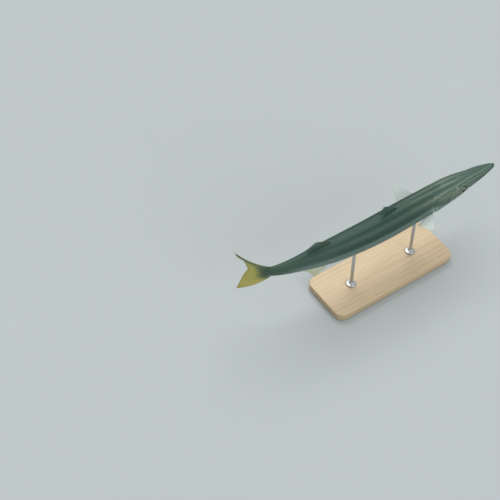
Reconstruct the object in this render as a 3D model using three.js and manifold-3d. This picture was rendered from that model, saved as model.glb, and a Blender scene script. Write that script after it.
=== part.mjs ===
// A life-size barracuda of the slender, yellow-tailed kind, 45 cm over all, held on a plain display stand.
// The fish is bent as in a slow turn to its own left, with the tail fin swept that way.
// Millimetres, +Z up, +X from the rear rod to the front rod, towards the snout.
// The origin is the middle of the stand's underside.
import * as THREE from "three";
import { mergeVertices } from "three/addons/utils/BufferGeometryUtils.js";
import Module from "manifold-3d";

const wasm = await Module();
wasm.setup();

const { lerp, smoothstep, clamp, degToRad } = THREE.MathUtils;

// Places along the fish are shares of the standard length, counted from the tip of the lower jaw.
const STANDARD_LENGTH = 400;
const TAIL_ROOT = 1.012;
const NECK = 0.333;
const MIDDLE = 0.56;
const VENT = 0.8;
const GAP = 0.3;
const AXIS_HEIGHT = 112;

// The centre line: straight as far as slowFrom, then two bends, in radians for each standard length.
const BEND = { slowFrom: 0.45, slowFull: 0.55, slow: 0.47, tailFrom: 0.86, tailFull: 1.0, tail: 3.6 };
const SPINE_STEP = 0.005;
const SPINE_END = 1.15;

// Cross sections: distances from the centre line to the back, the belly and one flank,
// and how square the upper and the lower half are, where 2 is an ellipse.
const SECTIONS = [
  { at: 0, back: 2.6, belly: 4.0, flank: 3.6, upper: 2.2, lower: 2.0 },
  { at: 0.032, back: 6.1, belly: 7.3, flank: 6.2, upper: 2.3, lower: 1.9 },
  { at: 0.076, back: 9.6, belly: 11.4, flank: 9.6, upper: 2.5, lower: 1.8 },
  { at: 0.13, back: 12.6, belly: 14.3, flank: 11.8, upper: 2.6, lower: 1.8 },
  { at: 0.19, back: 17.2, belly: 19.3, flank: 15.2, upper: 2.6, lower: 1.9 },
  { at: 0.25, back: 20.6, belly: 21.2, flank: 17.2, upper: 2.4, lower: 2.0 },
  { at: 0.35, back: 22.9, belly: 23.1, flank: 18.4, upper: 2.1, lower: 2.0 },
  { at: 0.5, back: 24.1, belly: 24.2, flank: 19.3, upper: 2.0, lower: 2.0 },
  { at: 0.64, back: 22.8, belly: 22.6, flank: 18.2, upper: 2.0, lower: 2.0 },
  { at: 0.76, back: 20.1, belly: 19.9, flank: 15.8, upper: 2.0, lower: 2.0 },
  { at: 0.83, back: 17.0, belly: 16.8, flank: 12.7, upper: 2.0, lower: 2.0 },
  { at: 0.9, back: 13.2, belly: 13.0, flank: 9.2, upper: 2.0, lower: 2.0 },
  { at: 0.97, back: 9.5, belly: 9.4, flank: 5.7, upper: 2.0, lower: 2.0 },
  { at: 1.012, back: 9.5, belly: 9.5, flank: 2.3, upper: 2.0, lower: 2.0 },
];
const SNOUT_ROUNDING = 0.012;
const SNOUT_RINGS = 4;
const SECTORS = 32;
const HEAD_RING = 5.4;
const TRUNK_RING = 10;
const TAIL_RING = 6.5;

// The lower jaw juts out past the upper one, which is set back at the snout by this much.
const UPPER_JAW_SETBACK = 3.2;
const SETBACK_FADE = 0.1;

// The mouth runs back and down from the tip to its corner, and the jaw ends behind that.
const MOUTH = { tipHeight: -0.3, corner: 0.137, cornerHeight: -5.6, droop: 1.9, slit: 0.4 };
const JAW = { end: 0.205, endHeight: -22, solidTo: 0.24 };
const LIP = { radius: 1.0, from: 0.14, stations: 8, crowding: 1.5, above: 0.9, sunk: 0.45, rings: 24, sides: 5 };
const EYE = { at: 0.19, height: 1.4, radius: 8.1, depth: 5, bulge: 0.9, segments: 20 };
const NOSTRIL = { places: [0.145, 0.156], height: 6.6, radius: 1.0, length: 1.3, segments: 10 };

// A gill cover is a plate in the skin, proud of it, with its point at the rear.
const GILL = {
  front: 0.236,
  rear: 0.329,
  top: 13,
  bottom: -17.5,
  point: 1.5,
  roundness: 0.8,
  slant: 0.08,
  proud: 0.7,
  rimProud: 0.385,
  inner: 1.5,
  recess: 3,
  turns: 24,
  rounds: [0.4, 0.75, 0.93, 1],
};

// Fins: half the thickness of a ray at its root, of the membrane and of both at the rim, and how deep a root
// is sunk in the body.
const RAY = { half: 0.52, membrane: 0.27, edge: 0.2, width: 0.4, sink: 2 };

// The fins on the middle line of the back (side 1) and the belly (side -1). For the first and the last ray, lean
// is how far its tip lies behind its root, and height how far out from the body it reaches. curve is how early
// that height falls off, arch where a ray bends, and scallop how deep the rim is cut between two rays.
const FIRST_DORSAL = {
  side: 1,
  from: 0.475,
  to: 0.53,
  rays: 5,
  lean: [31, 13],
  height: [20, 5],
  curve: 0.8,
  arch: [0.4, 0.52],
  scallop: 0.16,
};
const SECOND_DORSAL = {
  side: 1,
  from: 0.758,
  to: 0.845,
  rays: 10,
  lean: [28, 12],
  height: [15.5, 7],
  curve: 1.6,
  arch: [0.36, 0.56],
  scallop: 0.02,
};
const ANAL = {
  side: -1,
  from: 0.757,
  to: 0.846,
  rays: 10,
  lean: [26, 8],
  height: [27, 7.5],
  curve: 1.9,
  arch: [0.28, 0.66],
  scallop: 0.02,
};

// The pectoral fins' rays spread from the first, which stands well out, to the last, close along the body.
// raise is how far each fin's tips are lifted. Angles are in degrees.
const PECTORAL = {
  from: 0.338,
  to: 0.354,
  top: -3,
  bottom: -10.5,
  rays: 12,
  length: 37,
  shortening: 0.3,
  spread: [49, 8],
  arch: 1.12,
  tilt: -4,
  raise: { left: 26, right: 6 },
  scallop: 0.02,
};

// The pelvic fins lie folded back along the belly; outer and inner are the roots' distances from its middle.
const PELVIC = {
  from: 0.444,
  to: 0.453,
  inner: 3.8,
  outer: 7.6,
  rays: 6,
  length: 27,
  shortening: 0.42,
  drop: [3.4, 2.6],
  flare: [1.2, 0.2],
  scallop: 0.03,
};

// The tail fin's lobes. Its leading rays root along the edge of the peduncle, from its own start as far as
// the share corner of them, and the others on the peduncle's end.
const CAUDAL = { from: 0.986, corner: 0.16, tipHeight: 38.5, fork: 23.5, rays: 9, cup: 6, bow: 9, inset: 0.8 };
const UPPER_LOBE = { side: 1, reach: 41.5, fullness: 4 };
const LOWER_LOBE = { side: -1, reach: 39.5, fullness: 9 };

const FIN_ROWS = 5;
const CAUDAL_ROWS = 7;

const BASE = { length: 216, width: 84, height: 12, corner: 14, bevel: 1.5 };
const RODS = { front: 0.375, rear: 0.655, radius: 2.5, footRadius: 7.5, footHeight: 2.4 };

const COLOURS = {
  back: 0x3f5f55,
  flank: 0x6f8a80,
  jaw: 0x587268,
  cover: 0x6b8577,
  eye: 0x2a2c2a,
  clearFin: 0xc6d2cc,
  yellowFin: 0xc9c27a,
  tailFin: 0xb89a3a,
  spinyFin: 0x5b6d5f,
  wood: 0xc9b28c,
  steel: 0xb9bcbf,
};

// The centre line as a list of places and headings, worked back from the snout.
function traceSpine() {
  const spine = [];
  let [x, y, heading] = [0, 0, 0];
  for (let at = 0; at <= SPINE_END; at += SPINE_STEP) {
    spine.push({ x, y, heading });
    const middle = at + SPINE_STEP / 2;
    const slow = BEND.slow * smoothstep(middle, BEND.slowFrom, BEND.slowFull);
    const tailShare = smoothstep(middle, BEND.tailFrom, BEND.tailFull);
    const turn = (slow + (BEND.tail - BEND.slow) * tailShare) * SPINE_STEP;
    const step = SPINE_STEP * STANDARD_LENGTH;
    x -= step * Math.cos(heading - turn / 2);
    y -= step * Math.sin(heading - turn / 2);
    heading -= turn;
  }
  return spine;
}

const SPINE = traceSpine();

function rawSpineAt(at) {
  const step = at / SPINE_STEP;
  const index = Math.min(Math.floor(step), SPINE.length - 2);
  const share = step - index;
  const [a, b] = [SPINE[index], SPINE[index + 1]];
  return {
    x: lerp(a.x, b.x, share),
    y: lerp(a.y, b.y, share),
    heading: lerp(a.heading, b.heading, share),
  };
}

// The whole line is turned and shifted so that both rods stand on the X axis, the same way out from the origin.
const FRONT_ROD = rawSpineAt(RODS.front);
const REAR_ROD = rawSpineAt(RODS.rear);
const TURN = -Math.atan2(FRONT_ROD.y - REAR_ROD.y, FRONT_ROD.x - REAR_ROD.x);
const SHIFT = { x: (FRONT_ROD.x + REAR_ROD.x) / 2, y: (FRONT_ROD.y + REAR_ROD.y) / 2 };

function spineAt(at) {
  const raw = rawSpineAt(at);
  const [dx, dy] = [raw.x - SHIFT.x, raw.y - SHIFT.y];
  return {
    x: dx * Math.cos(TURN) - dy * Math.sin(TURN),
    y: dx * Math.sin(TURN) + dy * Math.cos(TURN),
    heading: raw.heading + TURN,
  };
}

// A point given by its place along the fish, its distance to the fish's left and its height over the centre line.
function place(at, left, height, forward = 0) {
  const { x, y, heading } = spineAt(at);
  return new THREE.Vector3(
    x + forward * Math.cos(heading) - left * Math.sin(heading),
    y + forward * Math.sin(heading) + left * Math.cos(heading),
    AXIS_HEIGHT + height,
  );
}

// The cross section at one place, smooth between the sections listed above and rounded off at the snout.
function sectionAt(at) {
  let index = 0;
  while (index < SECTIONS.length - 2 && at > SECTIONS[index + 1].at) index += 1;
  const [a, b] = [SECTIONS[index], SECTIONS[index + 1]];
  const before = SECTIONS[Math.max(index - 1, 0)];
  const after = SECTIONS[Math.min(index + 2, SECTIONS.length - 1)];
  const span = b.at - a.at;
  const t = clamp((at - a.at) / span, 0, 1);
  const section = {};
  for (const key of ["back", "belly", "flank", "upper", "lower"]) {
    const slopeA = ((b[key] - before[key]) / (b.at - before.at)) * span;
    const slopeB = ((after[key] - a[key]) / (after.at - a.at)) * span;
    section[key] =
      (2 * t ** 3 - 3 * t ** 2 + 1) * a[key] +
      (t ** 3 - 2 * t ** 2 + t) * slopeA +
      (3 * t ** 2 - 2 * t ** 3) * b[key] +
      (t ** 3 - t ** 2) * slopeB;
  }
  const shortOfRound = 1 - Math.min(at / SNOUT_ROUNDING, 1);
  const round = Math.sqrt(1 - shortOfRound ** 2);
  for (const key of ["back", "belly", "flank"]) section[key] *= round;
  return section;
}

// A point of the skin at an angle round the section, 0 on the left flank and 90 degrees on the back,
// moved outwards by out along the section's own normal.
function skin(at, angle, out = 0, setback = 0) {
  const section = sectionAt(at);
  const above = Math.sin(angle) >= 0;
  const power = above ? section.upper : section.lower;
  const tall = Math.max(above ? section.back : section.belly, 1e-3);
  const wide = Math.max(section.flank, 1e-3);
  const cosine = Math.cos(angle);
  const sine = Math.sin(angle);
  const left = wide * Math.sign(cosine) * Math.abs(cosine) ** (2 / power);
  const height = tall * Math.sign(sine) * Math.abs(sine) ** (2 / power);
  const normal = new THREE.Vector2(
    (Math.sign(left) * Math.abs(left / wide) ** (power - 1)) / wide,
    (Math.sign(height) * Math.abs(height / tall) ** (power - 1)) / tall,
  ).normalize();
  const fade = setback * (1 - smoothstep(at, 0, SETBACK_FADE));
  return place(at, left + out * normal.x, height + out * normal.y, -fade);
}

// The angle at which the skin has a given height on one side, 1 for left and -1 for right.
function angleAtHeight(at, height, side) {
  const section = sectionAt(at);
  const above = height >= 0;
  const power = above ? section.upper : section.lower;
  const tall = above ? section.back : section.belly;
  const share = Math.min(Math.abs(height) / tall, 1);
  const angle = Math.asin(share ** (power / 2)) * (above ? 1 : -1);
  return side > 0 ? angle : Math.PI - angle;
}

function flankPoint(at, height, side, out = 0, setback = 0) {
  return skin(at, angleAtHeight(at, height, side), out, setback);
}

function meshFrom(points, indices) {
  const geometry = new THREE.BufferGeometry();
  const positions = new Float32Array(points.flatMap((point) => [point.x, point.y, point.z]));
  geometry.setAttribute("position", new THREE.BufferAttribute(positions, 3));
  geometry.setIndex(indices);
  return geometry;
}

// A closed geometry from rings of points, each ring the same length and in order round the part.
function loft(rings, startPoint = null, endPoint = null) {
  const points = rings.flat();
  const indices = [];
  const count = rings[0].length;
  for (let ring = 0; ring < rings.length - 1; ring += 1) {
    for (let i = 0; i < count; i += 1) {
      const next = (i + 1) % count;
      const [a, b] = [ring * count + i, ring * count + next];
      const [c, d] = [a + count, b + count];
      indices.push(a, b, d, a, d, c);
    }
  }
  for (const [ring, apex, first] of [
    [rings[0], startPoint, 0],
    [rings[rings.length - 1], endPoint, (rings.length - 1) * count],
  ]) {
    const index = points.length;
    points.push(apex ?? ring.reduce((sum, p) => sum.add(p), new THREE.Vector3()).divideScalar(count));
    for (let i = 0; i < count; i += 1) {
      const [a, b] = [first + i, first + ((i + 1) % count)];
      if (first === 0) indices.push(index, b, a);
      else indices.push(index, a, b);
    }
  }
  return meshFrom(points, indices);
}

// A length of the body between two places, grown outwards by out. From place 0 it starts with a round snout.
function bodyLength(from, to, ringSpacing, out = 0, setback = 0) {
  const places = [];
  const start = Math.max(from, SNOUT_ROUNDING);
  if (from < SNOUT_ROUNDING) {
    for (let i = 1; i < SNOUT_RINGS; i += 1) {
      places.push(SNOUT_ROUNDING * (1 - Math.cos((i * Math.PI) / 2 / SNOUT_RINGS)));
    }
  }
  const steps = Math.max(1, Math.round(((to - start) * STANDARD_LENGTH) / ringSpacing));
  for (let i = 0; i <= steps; i += 1) places.push(lerp(start, to, i / steps));
  const rings = places.map((at) =>
    Array.from({ length: SECTORS }, (_, i) => skin(at, (-i * 2 * Math.PI) / SECTORS, out, setback)),
  );
  return loft(rings, from < SNOUT_ROUNDING ? place(0, 0, 0, out - setback) : null);
}

function solidOf(geometry) {
  const bare = geometry.clone();
  for (const name of ["normal", "uv"]) bare.deleteAttribute(name);
  const merged = mergeVertices(bare, 1e-4);
  const mesh = new wasm.Mesh({
    numProp: 3,
    vertProperties: new Float32Array(merged.attributes.position.array),
    triVerts: new Uint32Array(merged.index.array),
  });
  return new wasm.Manifold(mesh);
}

// The largest closed body of a solid, as a geometry.
function geometryOf(solid) {
  const bodies = solid.decompose();
  bodies.sort((a, b) => b.volume() - a.volume());
  const mesh = bodies[0].getMesh();
  const points = [];
  for (let i = 0; i < mesh.numVert; i += 1) {
    points.push(new THREE.Vector3().fromArray(mesh.vertProperties, i * mesh.numProp));
  }
  return meshFrom(points, Array.from(mesh.triVerts));
}

// A thin fin: rays fan from root(u) to tip(u), u from 0 to 1, bowed through bend(u), and stand out of
// the membrane on both faces as ridges. The two faces are split into triangles alike.
function fin({ rays, rows, root, bend, tip, scallop, rootHalf = () => 0 }) {
  const columns = [];
  const halfRidge = RAY.width / 2 / (rays - 1);
  for (let ray = 0; ray < rays; ray += 1) {
    const u = ray / (rays - 1);
    if (ray > 0) columns.push({ u: u - halfRidge, ridge: false });
    columns.push({ u, ridge: true });
    if (ray < rays - 1) columns.push({ u: u + halfRidge, ridge: false });
  }
  const grid = columns.map((column) => {
    const start = root(column.u);
    const end = tip(column.u).lerp(start, column.ridge ? 0 : scallop);
    const line = new THREE.QuadraticBezierCurve3(start, bend(column.u), end);
    return Array.from({ length: rows + 1 }, (_, row) => line.getPoint(row / rows));
  });
  const last = columns.length - 1;
  const faces = [[], []];
  for (let i = 0; i <= last; i += 1) {
    for (let j = 0; j <= rows; j += 1) {
      const across = grid[Math.min(i + 1, last)][j].clone().sub(grid[Math.max(i - 1, 0)][j]);
      const along = grid[i][Math.min(j + 1, rows)].clone().sub(grid[i][Math.max(j - 1, 0)]);
      const normal = across.cross(along).normalize();
      const share = j / rows;
      const ray = lerp(RAY.half, RAY.edge, share ** 1.5);
      const membrane = lerp(RAY.membrane, RAY.edge, share ** 3);
      const flare = Math.max(rootHalf(columns[i].u) - RAY.half, 0) * (1 - share) ** 8;
      const half = (columns[i].ridge ? ray : membrane) + flare;
      faces[0].push(grid[i][j].clone().addScaledVector(normal, half));
      faces[1].push(grid[i][j].clone().addScaledVector(normal, -half));
    }
  }
  const far = faces[0].length;
  const at = (i, j) => i * (rows + 1) + j;
  const indices = [];
  for (let i = 0; i < last; i += 1) {
    for (let j = 0; j < rows; j += 1) {
      const [a, b, c, d] = [at(i, j), at(i + 1, j), at(i + 1, j + 1), at(i, j + 1)];
      indices.push(a, b, c, a, c, d);
      indices.push(far + a, far + c, far + b, far + a, far + d, far + c);
    }
  }
  const rim = [];
  for (let i = 0; i < last; i += 1) rim.push(at(i, 0));
  for (let j = 0; j < rows; j += 1) rim.push(at(last, j));
  for (let i = last; i > 0; i -= 1) rim.push(at(i, rows));
  for (let j = rows; j > 0; j -= 1) rim.push(at(0, j));
  rim.forEach((a, i) => {
    const b = rim[(i + 1) % rim.length];
    indices.push(b, a, far + a, b, far + a, far + b);
  });
  return meshFrom(faces.flat(), indices);
}

const GROWN_BODY = solidOf(bodyLength(0, TAIL_ROOT + GAP / STANDARD_LENGTH, TAIL_RING, GAP));

// A fin whose root is sunk in the body, cut back so that it meets the skin face to face.
function rootedFin(shape) {
  return geometryOf(solidOf(fin(shape)).subtract(GROWN_BODY));
}

function midlineFin({ side, from, to, rays, lean, height, curve, arch, scallop }) {
  const edge = (at) => {
    const section = sectionAt(at);
    return side > 0 ? section.back : section.belly;
  };
  const tipSpot = (u) => {
    const at = lerp(from, to, u) + lerp(lean[0], lean[1], u) / STANDARD_LENGTH;
    return { at, height: edge(at) + lerp(height[0], height[1], 1 - (1 - u) ** curve) };
  };
  return rootedFin({
    rays,
    rows: FIN_ROWS,
    root: (u) => {
      const at = lerp(from, to, u);
      return place(at, 0, side * (edge(at) - RAY.sink));
    },
    bend: (u) => {
      const rootAt = lerp(from, to, u);
      const end = tipSpot(u);
      return place(lerp(rootAt, end.at, arch[0]), 0, side * lerp(edge(rootAt), end.height, arch[1]));
    },
    tip: (u) => {
      const end = tipSpot(u);
      return place(end.at, 0, side * end.height);
    },
    scallop,
  });
}

// The side view of the jaw, through the whole width of the head, for cutting head and jaw apart.
function jawBlock(grow) {
  const [ahead, below, width] = [12, 40, 60];
  const top = MOUTH.tipHeight + grow;
  const corner = { x: -MOUTH.corner * STANDARD_LENGTH, y: MOUTH.cornerHeight + grow };
  const end = { x: -JAW.end * STANDARD_LENGTH - grow, y: JAW.endHeight + grow };
  const outline = new THREE.Shape();
  outline.moveTo(ahead, top);
  outline.lineTo(0, top);
  outline.quadraticCurveTo(corner.x * 0.55, top, corner.x, corner.y);
  outline.quadraticCurveTo(lerp(corner.x, end.x, 0.75), lerp(corner.y, end.y, 0.25), end.x, end.y);
  outline.lineTo(end.x, -below);
  outline.lineTo(ahead, -below);
  outline.closePath();
  const geometry = new THREE.ExtrudeGeometry(outline, { depth: width, bevelEnabled: false, curveSegments: 10 });
  geometry.translate(0, 0, -width / 2);
  geometry.rotateX(Math.PI / 2);
  const snout = place(0, 0, 0);
  geometry.rotateZ(spineAt(0).heading);
  geometry.translate(snout.x, snout.y, snout.z);
  return solidOf(geometry);
}

function mouthHeight(at) {
  const share = Math.min(at / MOUTH.corner, 1);
  return lerp(MOUTH.tipHeight, MOUTH.cornerHeight, share ** MOUTH.droop);
}

// A lip: a round bead laid in the skin along one jaw, round the snout from one corner of the mouth to the other.
// above is 1 for the upper lip and -1 for the lower one.
function lip(above, setback) {
  const bead = above * LIP.radius * LIP.above;
  const places = Array.from({ length: LIP.stations }, (_, i) => LIP.from * (1 - i / LIP.stations) ** LIP.crowding);
  const along = (side) =>
    places.map((at) => flankPoint(at, mouthHeight(at) + bead, side, -LIP.radius * LIP.sunk, setback));
  const front = place(0, 0, mouthHeight(0) + bead, -setback);
  const line = new THREE.CatmullRomCurve3([...along(1), front, ...along(-1).reverse()]);
  const frames = line.computeFrenetFrames(LIP.rings, false);
  const rings = [];
  for (let i = 0; i <= LIP.rings; i += 1) {
    const middle = line.getPointAt(i / LIP.rings);
    const radius = LIP.radius * (0.45 + 0.55 * Math.sin((Math.PI * i) / LIP.rings) ** 0.4);
    const ring = Array.from({ length: LIP.sides }, (_, k) => {
      const angle = (2 * Math.PI * k) / LIP.sides;
      const point = middle.clone().addScaledVector(frames.normals[i], radius * Math.cos(angle));
      return point.addScaledVector(frames.binormals[i], radius * Math.sin(angle));
    });
    rings.push(ring);
  }
  return solidOf(loft(rings));
}

// A ball with its own length, depth and height, set in the head's flank at a place along it.
function ball({ at, height, side, long, deep, tall, out, segments }) {
  const geometry = new THREE.SphereGeometry(1, segments, segments * 0.7);
  geometry.rotateX(Math.PI / 2);
  geometry.scale(long, deep, tall);
  geometry.rotateZ(spineAt(at).heading);
  const centre = flankPoint(at, height, side, out);
  geometry.translate(centre.x, centre.y, centre.z);
  return geometry;
}

function eyeBall(side, grow = 0) {
  const { at, height, radius, depth, bulge, segments } = EYE;
  const [long, deep, tall] = [radius + grow, depth + grow, radius + grow];
  return ball({ at, height, side, long, deep, tall, out: bulge - depth, segments });
}

function nostril(at, side) {
  const { height, radius, length, segments } = NOSTRIL;
  return solidOf(ball({ at, height, side, long: radius * length, deep: radius, tall: radius, out: 0, segments }));
}

// The outline of a gill cover in side view, as a place along the fish and a height.
function gillOutline(turn, grow) {
  const middleAt = (GILL.front + GILL.rear) / 2;
  const middleHeight = (GILL.top + GILL.bottom) / 2;
  const long = ((GILL.rear - GILL.front) * STANDARD_LENGTH) / 2 + grow;
  const tall = (GILL.top - GILL.bottom) / 2 + grow;
  const cosine = Math.cos(turn);
  const sine = Math.sin(turn);
  const along = long * Math.sign(cosine) * Math.abs(cosine) ** GILL.roundness + GILL.slant * tall * sine;
  const up = tall * Math.sign(sine) * Math.abs(sine) ** GILL.roundness + GILL.point * cosine;
  return { at: middleAt + along / STANDARD_LENGTH, height: middleHeight + up };
}

// A curved plate lying in the skin inside the gill cover's outline, from inner below the skin to outer above it.
function gillPlate(side, { grow, outer, rim, inner }) {
  const centre = { at: (GILL.front + GILL.rear) / 2, height: (GILL.top + GILL.bottom) / 2 };
  const ring = (share, out) =>
    Array.from({ length: GILL.turns }, (_, i) => {
      const edge = gillOutline((-side * 2 * Math.PI * i) / GILL.turns, grow);
      return flankPoint(lerp(centre.at, edge.at, share), lerp(centre.height, edge.height, share), side, out);
    });
  const rings = GILL.rounds.map((share) => ring(share, share === 1 ? rim : outer));
  for (const share of [...GILL.rounds].reverse()) rings.push(ring(share, -inner));
  const apex = (out) => flankPoint(centre.at, centre.height, side, out);
  return loft(rings, apex(outer), apex(-inner));
}

function makeHead() {
  const body = solidOf(bodyLength(0, NECK - GAP / 2 / STANDARD_LENGTH, HEAD_RING, 0, UPPER_JAW_SETBACK));
  let solid = body.add(lip(1, UPPER_JAW_SETBACK)).subtract(jawBlock(MOUTH.slit));
  const recess = { grow: GAP, outer: GILL.recess, rim: GILL.recess, inner: GILL.inner + GAP };
  for (const side of [1, -1]) {
    solid = solid.subtract(solidOf(eyeBall(side, GAP)));
    solid = solid.subtract(solidOf(gillPlate(side, recess)));
    for (const at of NOSTRIL.places) solid = solid.subtract(nostril(at, side));
  }
  return geometryOf(solid);
}

function makeJaw() {
  const body = solidOf(bodyLength(0, JAW.solidTo, HEAD_RING));
  return geometryOf(body.add(lip(-1, 0)).intersect(jawBlock(0)));
}

function makeGillCover(side) {
  return gillPlate(side, { grow: 0, outer: GILL.proud, rim: GILL.rimProud, inner: GILL.inner });
}

function pectoralFin(side, raise) {
  const spot = (u) => ({ at: lerp(PECTORAL.from, PECTORAL.to, u), height: lerp(PECTORAL.top, PECTORAL.bottom, u) });
  const away = (u, share, arch) => {
    const { at, height } = spot(u);
    const { heading } = spineAt(at);
    const spread = degToRad(lerp(PECTORAL.spread[0], PECTORAL.spread[1], u)) * arch;
    const lift = degToRad(raise * (1 - 0.5 * u) + PECTORAL.tilt);
    const reach = PECTORAL.length * (1 - PECTORAL.shortening * u ** 1.3) * share;
    const back = reach * Math.cos(spread) * Math.cos(lift);
    const out = side * reach * Math.sin(spread);
    const step = new THREE.Vector3(-back, out, reach * Math.sin(lift));
    return flankPoint(at, height, side).add(step.applyAxisAngle(new THREE.Vector3(0, 0, 1), heading));
  };
  return rootedFin({
    rays: PECTORAL.rays,
    rows: FIN_ROWS,
    root: (u) => flankPoint(spot(u).at, spot(u).height, side, -RAY.sink),
    bend: (u) => away(u, 0.5, PECTORAL.arch),
    tip: (u) => away(u, 1, 1),
    scallop: PECTORAL.scallop,
  });
}

function pelvicFin(side) {
  const start = (u) => {
    const at = lerp(PELVIC.from, PELVIC.to, u);
    const section = sectionAt(at);
    const left = lerp(PELVIC.outer, PELVIC.inner, u);
    return { at, left, height: -section.belly * Math.sqrt(1 - (left / section.flank) ** 2) };
  };
  const end = (u) => {
    const { at, left, height } = start(u);
    const length = PELVIC.length * (1 - PELVIC.shortening * u);
    const flare = lerp(PELVIC.flare[0], PELVIC.flare[1], u);
    const drop = lerp(PELVIC.drop[0], PELVIC.drop[1], u);
    return { at: at + length / STANDARD_LENGTH, left: left + flare, height: height - drop };
  };
  return rootedFin({
    rays: PELVIC.rays,
    rows: FIN_ROWS,
    root: (u) => place(start(u).at, side * start(u).left, start(u).height + RAY.sink),
    bend: (u) => {
      const [a, b] = [start(u), end(u)];
      return place(lerp(a.at, b.at, 0.35), side * lerp(a.left, b.left, 0.5), b.height - RAY.edge);
    },
    tip: (u) => place(end(u).at, side * end(u).left, end(u).height),
    scallop: PELVIC.scallop,
  });
}

// One lobe of the tail fin, from its leading ray (u = 0) to the middle of the fork (u = 1). The outer rays are
// bowed to the fish's right and the middle ones are cupped to its left. A fuller lobe has a straighter rear edge.
function caudalLobe({ side, reach, fullness }) {
  const stem = sectionAt(TAIL_ROOT);
  const middle = GAP / 2;
  const edge = new THREE.QuadraticBezierCurve(
    new THREE.Vector2(reach, CAUDAL.tipHeight),
    new THREE.Vector2(CAUDAL.fork + fullness, CAUDAL.tipHeight * 0.4),
    new THREE.Vector2(CAUDAL.fork, middle),
  );
  const point = (u, behind, height) => {
    const share = clamp(behind / reach, 0, 1);
    const inner = smoothstep(u, 0, 0.6);
    const cupped = CAUDAL.cup * inner * Math.min(share * 1.7, 1) ** 1.5;
    const bowed = CAUDAL.bow * (1 - inner) * Math.sin(Math.PI * share);
    return place(TAIL_ROOT + behind / STANDARD_LENGTH, cupped - bowed, side * height);
  };
  const rootSpot = (u) => {
    const top = stem.back - CAUDAL.inset;
    const first = (CAUDAL.from - TAIL_ROOT) * STANDARD_LENGTH;
    if (u < CAUDAL.corner) return { behind: lerp(first, -1, u / CAUDAL.corner), height: top };
    return { behind: -1, height: lerp(top, middle, (u - CAUDAL.corner) / (1 - CAUDAL.corner)) };
  };
  const tipSpot = (u) => edge.getPoint(u ** 1.15);
  return rootedFin({
    rays: CAUDAL.rays,
    rows: CAUDAL_ROWS,
    root: (u) => point(u, rootSpot(u).behind, rootSpot(u).height),
    bend: (u) => {
      const [start, end] = [rootSpot(u), tipSpot(u)];
      const rise = u < 1 ? 0.48 : 0;
      return point(u, lerp(start.behind, end.x, 0.46), lerp(start.height, end.y, rise));
    },
    tip: (u) => point(u, tipSpot(u).x, tipSpot(u).y),
    rootHalf: (u) => 0.85 * stem.flank * Math.sqrt(1 - (rootSpot(u).height / stem.back) ** 2),
    scallop: 0.015,
  });
}

function makeBase() {
  const [x, y, r] = [BASE.length / 2 - BASE.bevel, BASE.width / 2 - BASE.bevel, BASE.corner];
  const outline = new THREE.Shape();
  outline.moveTo(-x + r, -y);
  outline.lineTo(x - r, -y);
  outline.absarc(x - r, -y + r, r, -Math.PI / 2, 0);
  outline.lineTo(x, y - r);
  outline.absarc(x - r, y - r, r, 0, Math.PI / 2);
  outline.lineTo(-x + r, y);
  outline.absarc(-x + r, y - r, r, Math.PI / 2, Math.PI);
  outline.lineTo(-x, -y + r);
  outline.absarc(-x + r, -y + r, r, Math.PI, 1.5 * Math.PI);
  const geometry = new THREE.ExtrudeGeometry(outline, {
    depth: BASE.height - 2 * BASE.bevel,
    curveSegments: 5,
    bevelThickness: BASE.bevel,
    bevelSize: BASE.bevel,
    bevelSegments: 1,
  });
  geometry.translate(0, 0, BASE.bevel);
  return geometryOf(solidOf(geometry));
}

// A rod with a turned foot, its upper end shaped to the belly that it carries.
function makeRod(at) {
  const low = BASE.height + GAP;
  const { x, y } = place(at, 0, 0);
  const profile = [
    new THREE.Vector2(0, low),
    new THREE.Vector2(RODS.footRadius, low),
    new THREE.Vector2(RODS.footRadius, low + RODS.footHeight * 0.6),
    new THREE.Vector2(RODS.footRadius * 0.8, low + RODS.footHeight),
    new THREE.Vector2(RODS.radius, low + RODS.footHeight * 1.5),
    new THREE.Vector2(RODS.radius, AXIS_HEIGHT),
    new THREE.Vector2(0, AXIS_HEIGHT),
  ];
  const geometry = new THREE.LatheGeometry(profile, 16);
  geometry.rotateX(Math.PI / 2);
  geometry.translate(x, y, 0);
  return geometryOf(solidOf(geometry).subtract(GROWN_BODY));
}

const barracuda = new THREE.Group();

function addNode(name, geometry, colour, roughness, metalness = 0) {
  const material = new THREE.MeshStandardMaterial({ color: colour, roughness, metalness });
  const mesh = new THREE.Mesh(geometry, material);
  mesh.name = name;
  barracuda.add(mesh);
}

const halfGap = GAP / 2 / STANDARD_LENGTH;
addNode("head", makeHead(), COLOURS.back, 0.4);
addNode("lower_jaw", makeJaw(), COLOURS.jaw, 0.4);
addNode("trunk_front", bodyLength(NECK + halfGap, MIDDLE - halfGap, TRUNK_RING), COLOURS.flank, 0.38);
addNode("trunk_rear", bodyLength(MIDDLE + halfGap, VENT - halfGap, TRUNK_RING), COLOURS.flank, 0.38);
addNode("tail_peduncle", bodyLength(VENT + halfGap, TAIL_ROOT, TAIL_RING), COLOURS.back, 0.4);

for (const [word, side] of [
  ["left", 1],
  ["right", -1],
]) {
  addNode("eye_" + word, eyeBall(side), COLOURS.eye, 0.12);
  addNode("gill_cover_" + word, makeGillCover(side), COLOURS.cover, 0.35);
  addNode("pectoral_fin_" + word, pectoralFin(side, PECTORAL.raise[word]), COLOURS.clearFin, 0.3);
  addNode("pelvic_fin_" + word, pelvicFin(side), COLOURS.yellowFin, 0.35);
}

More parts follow.
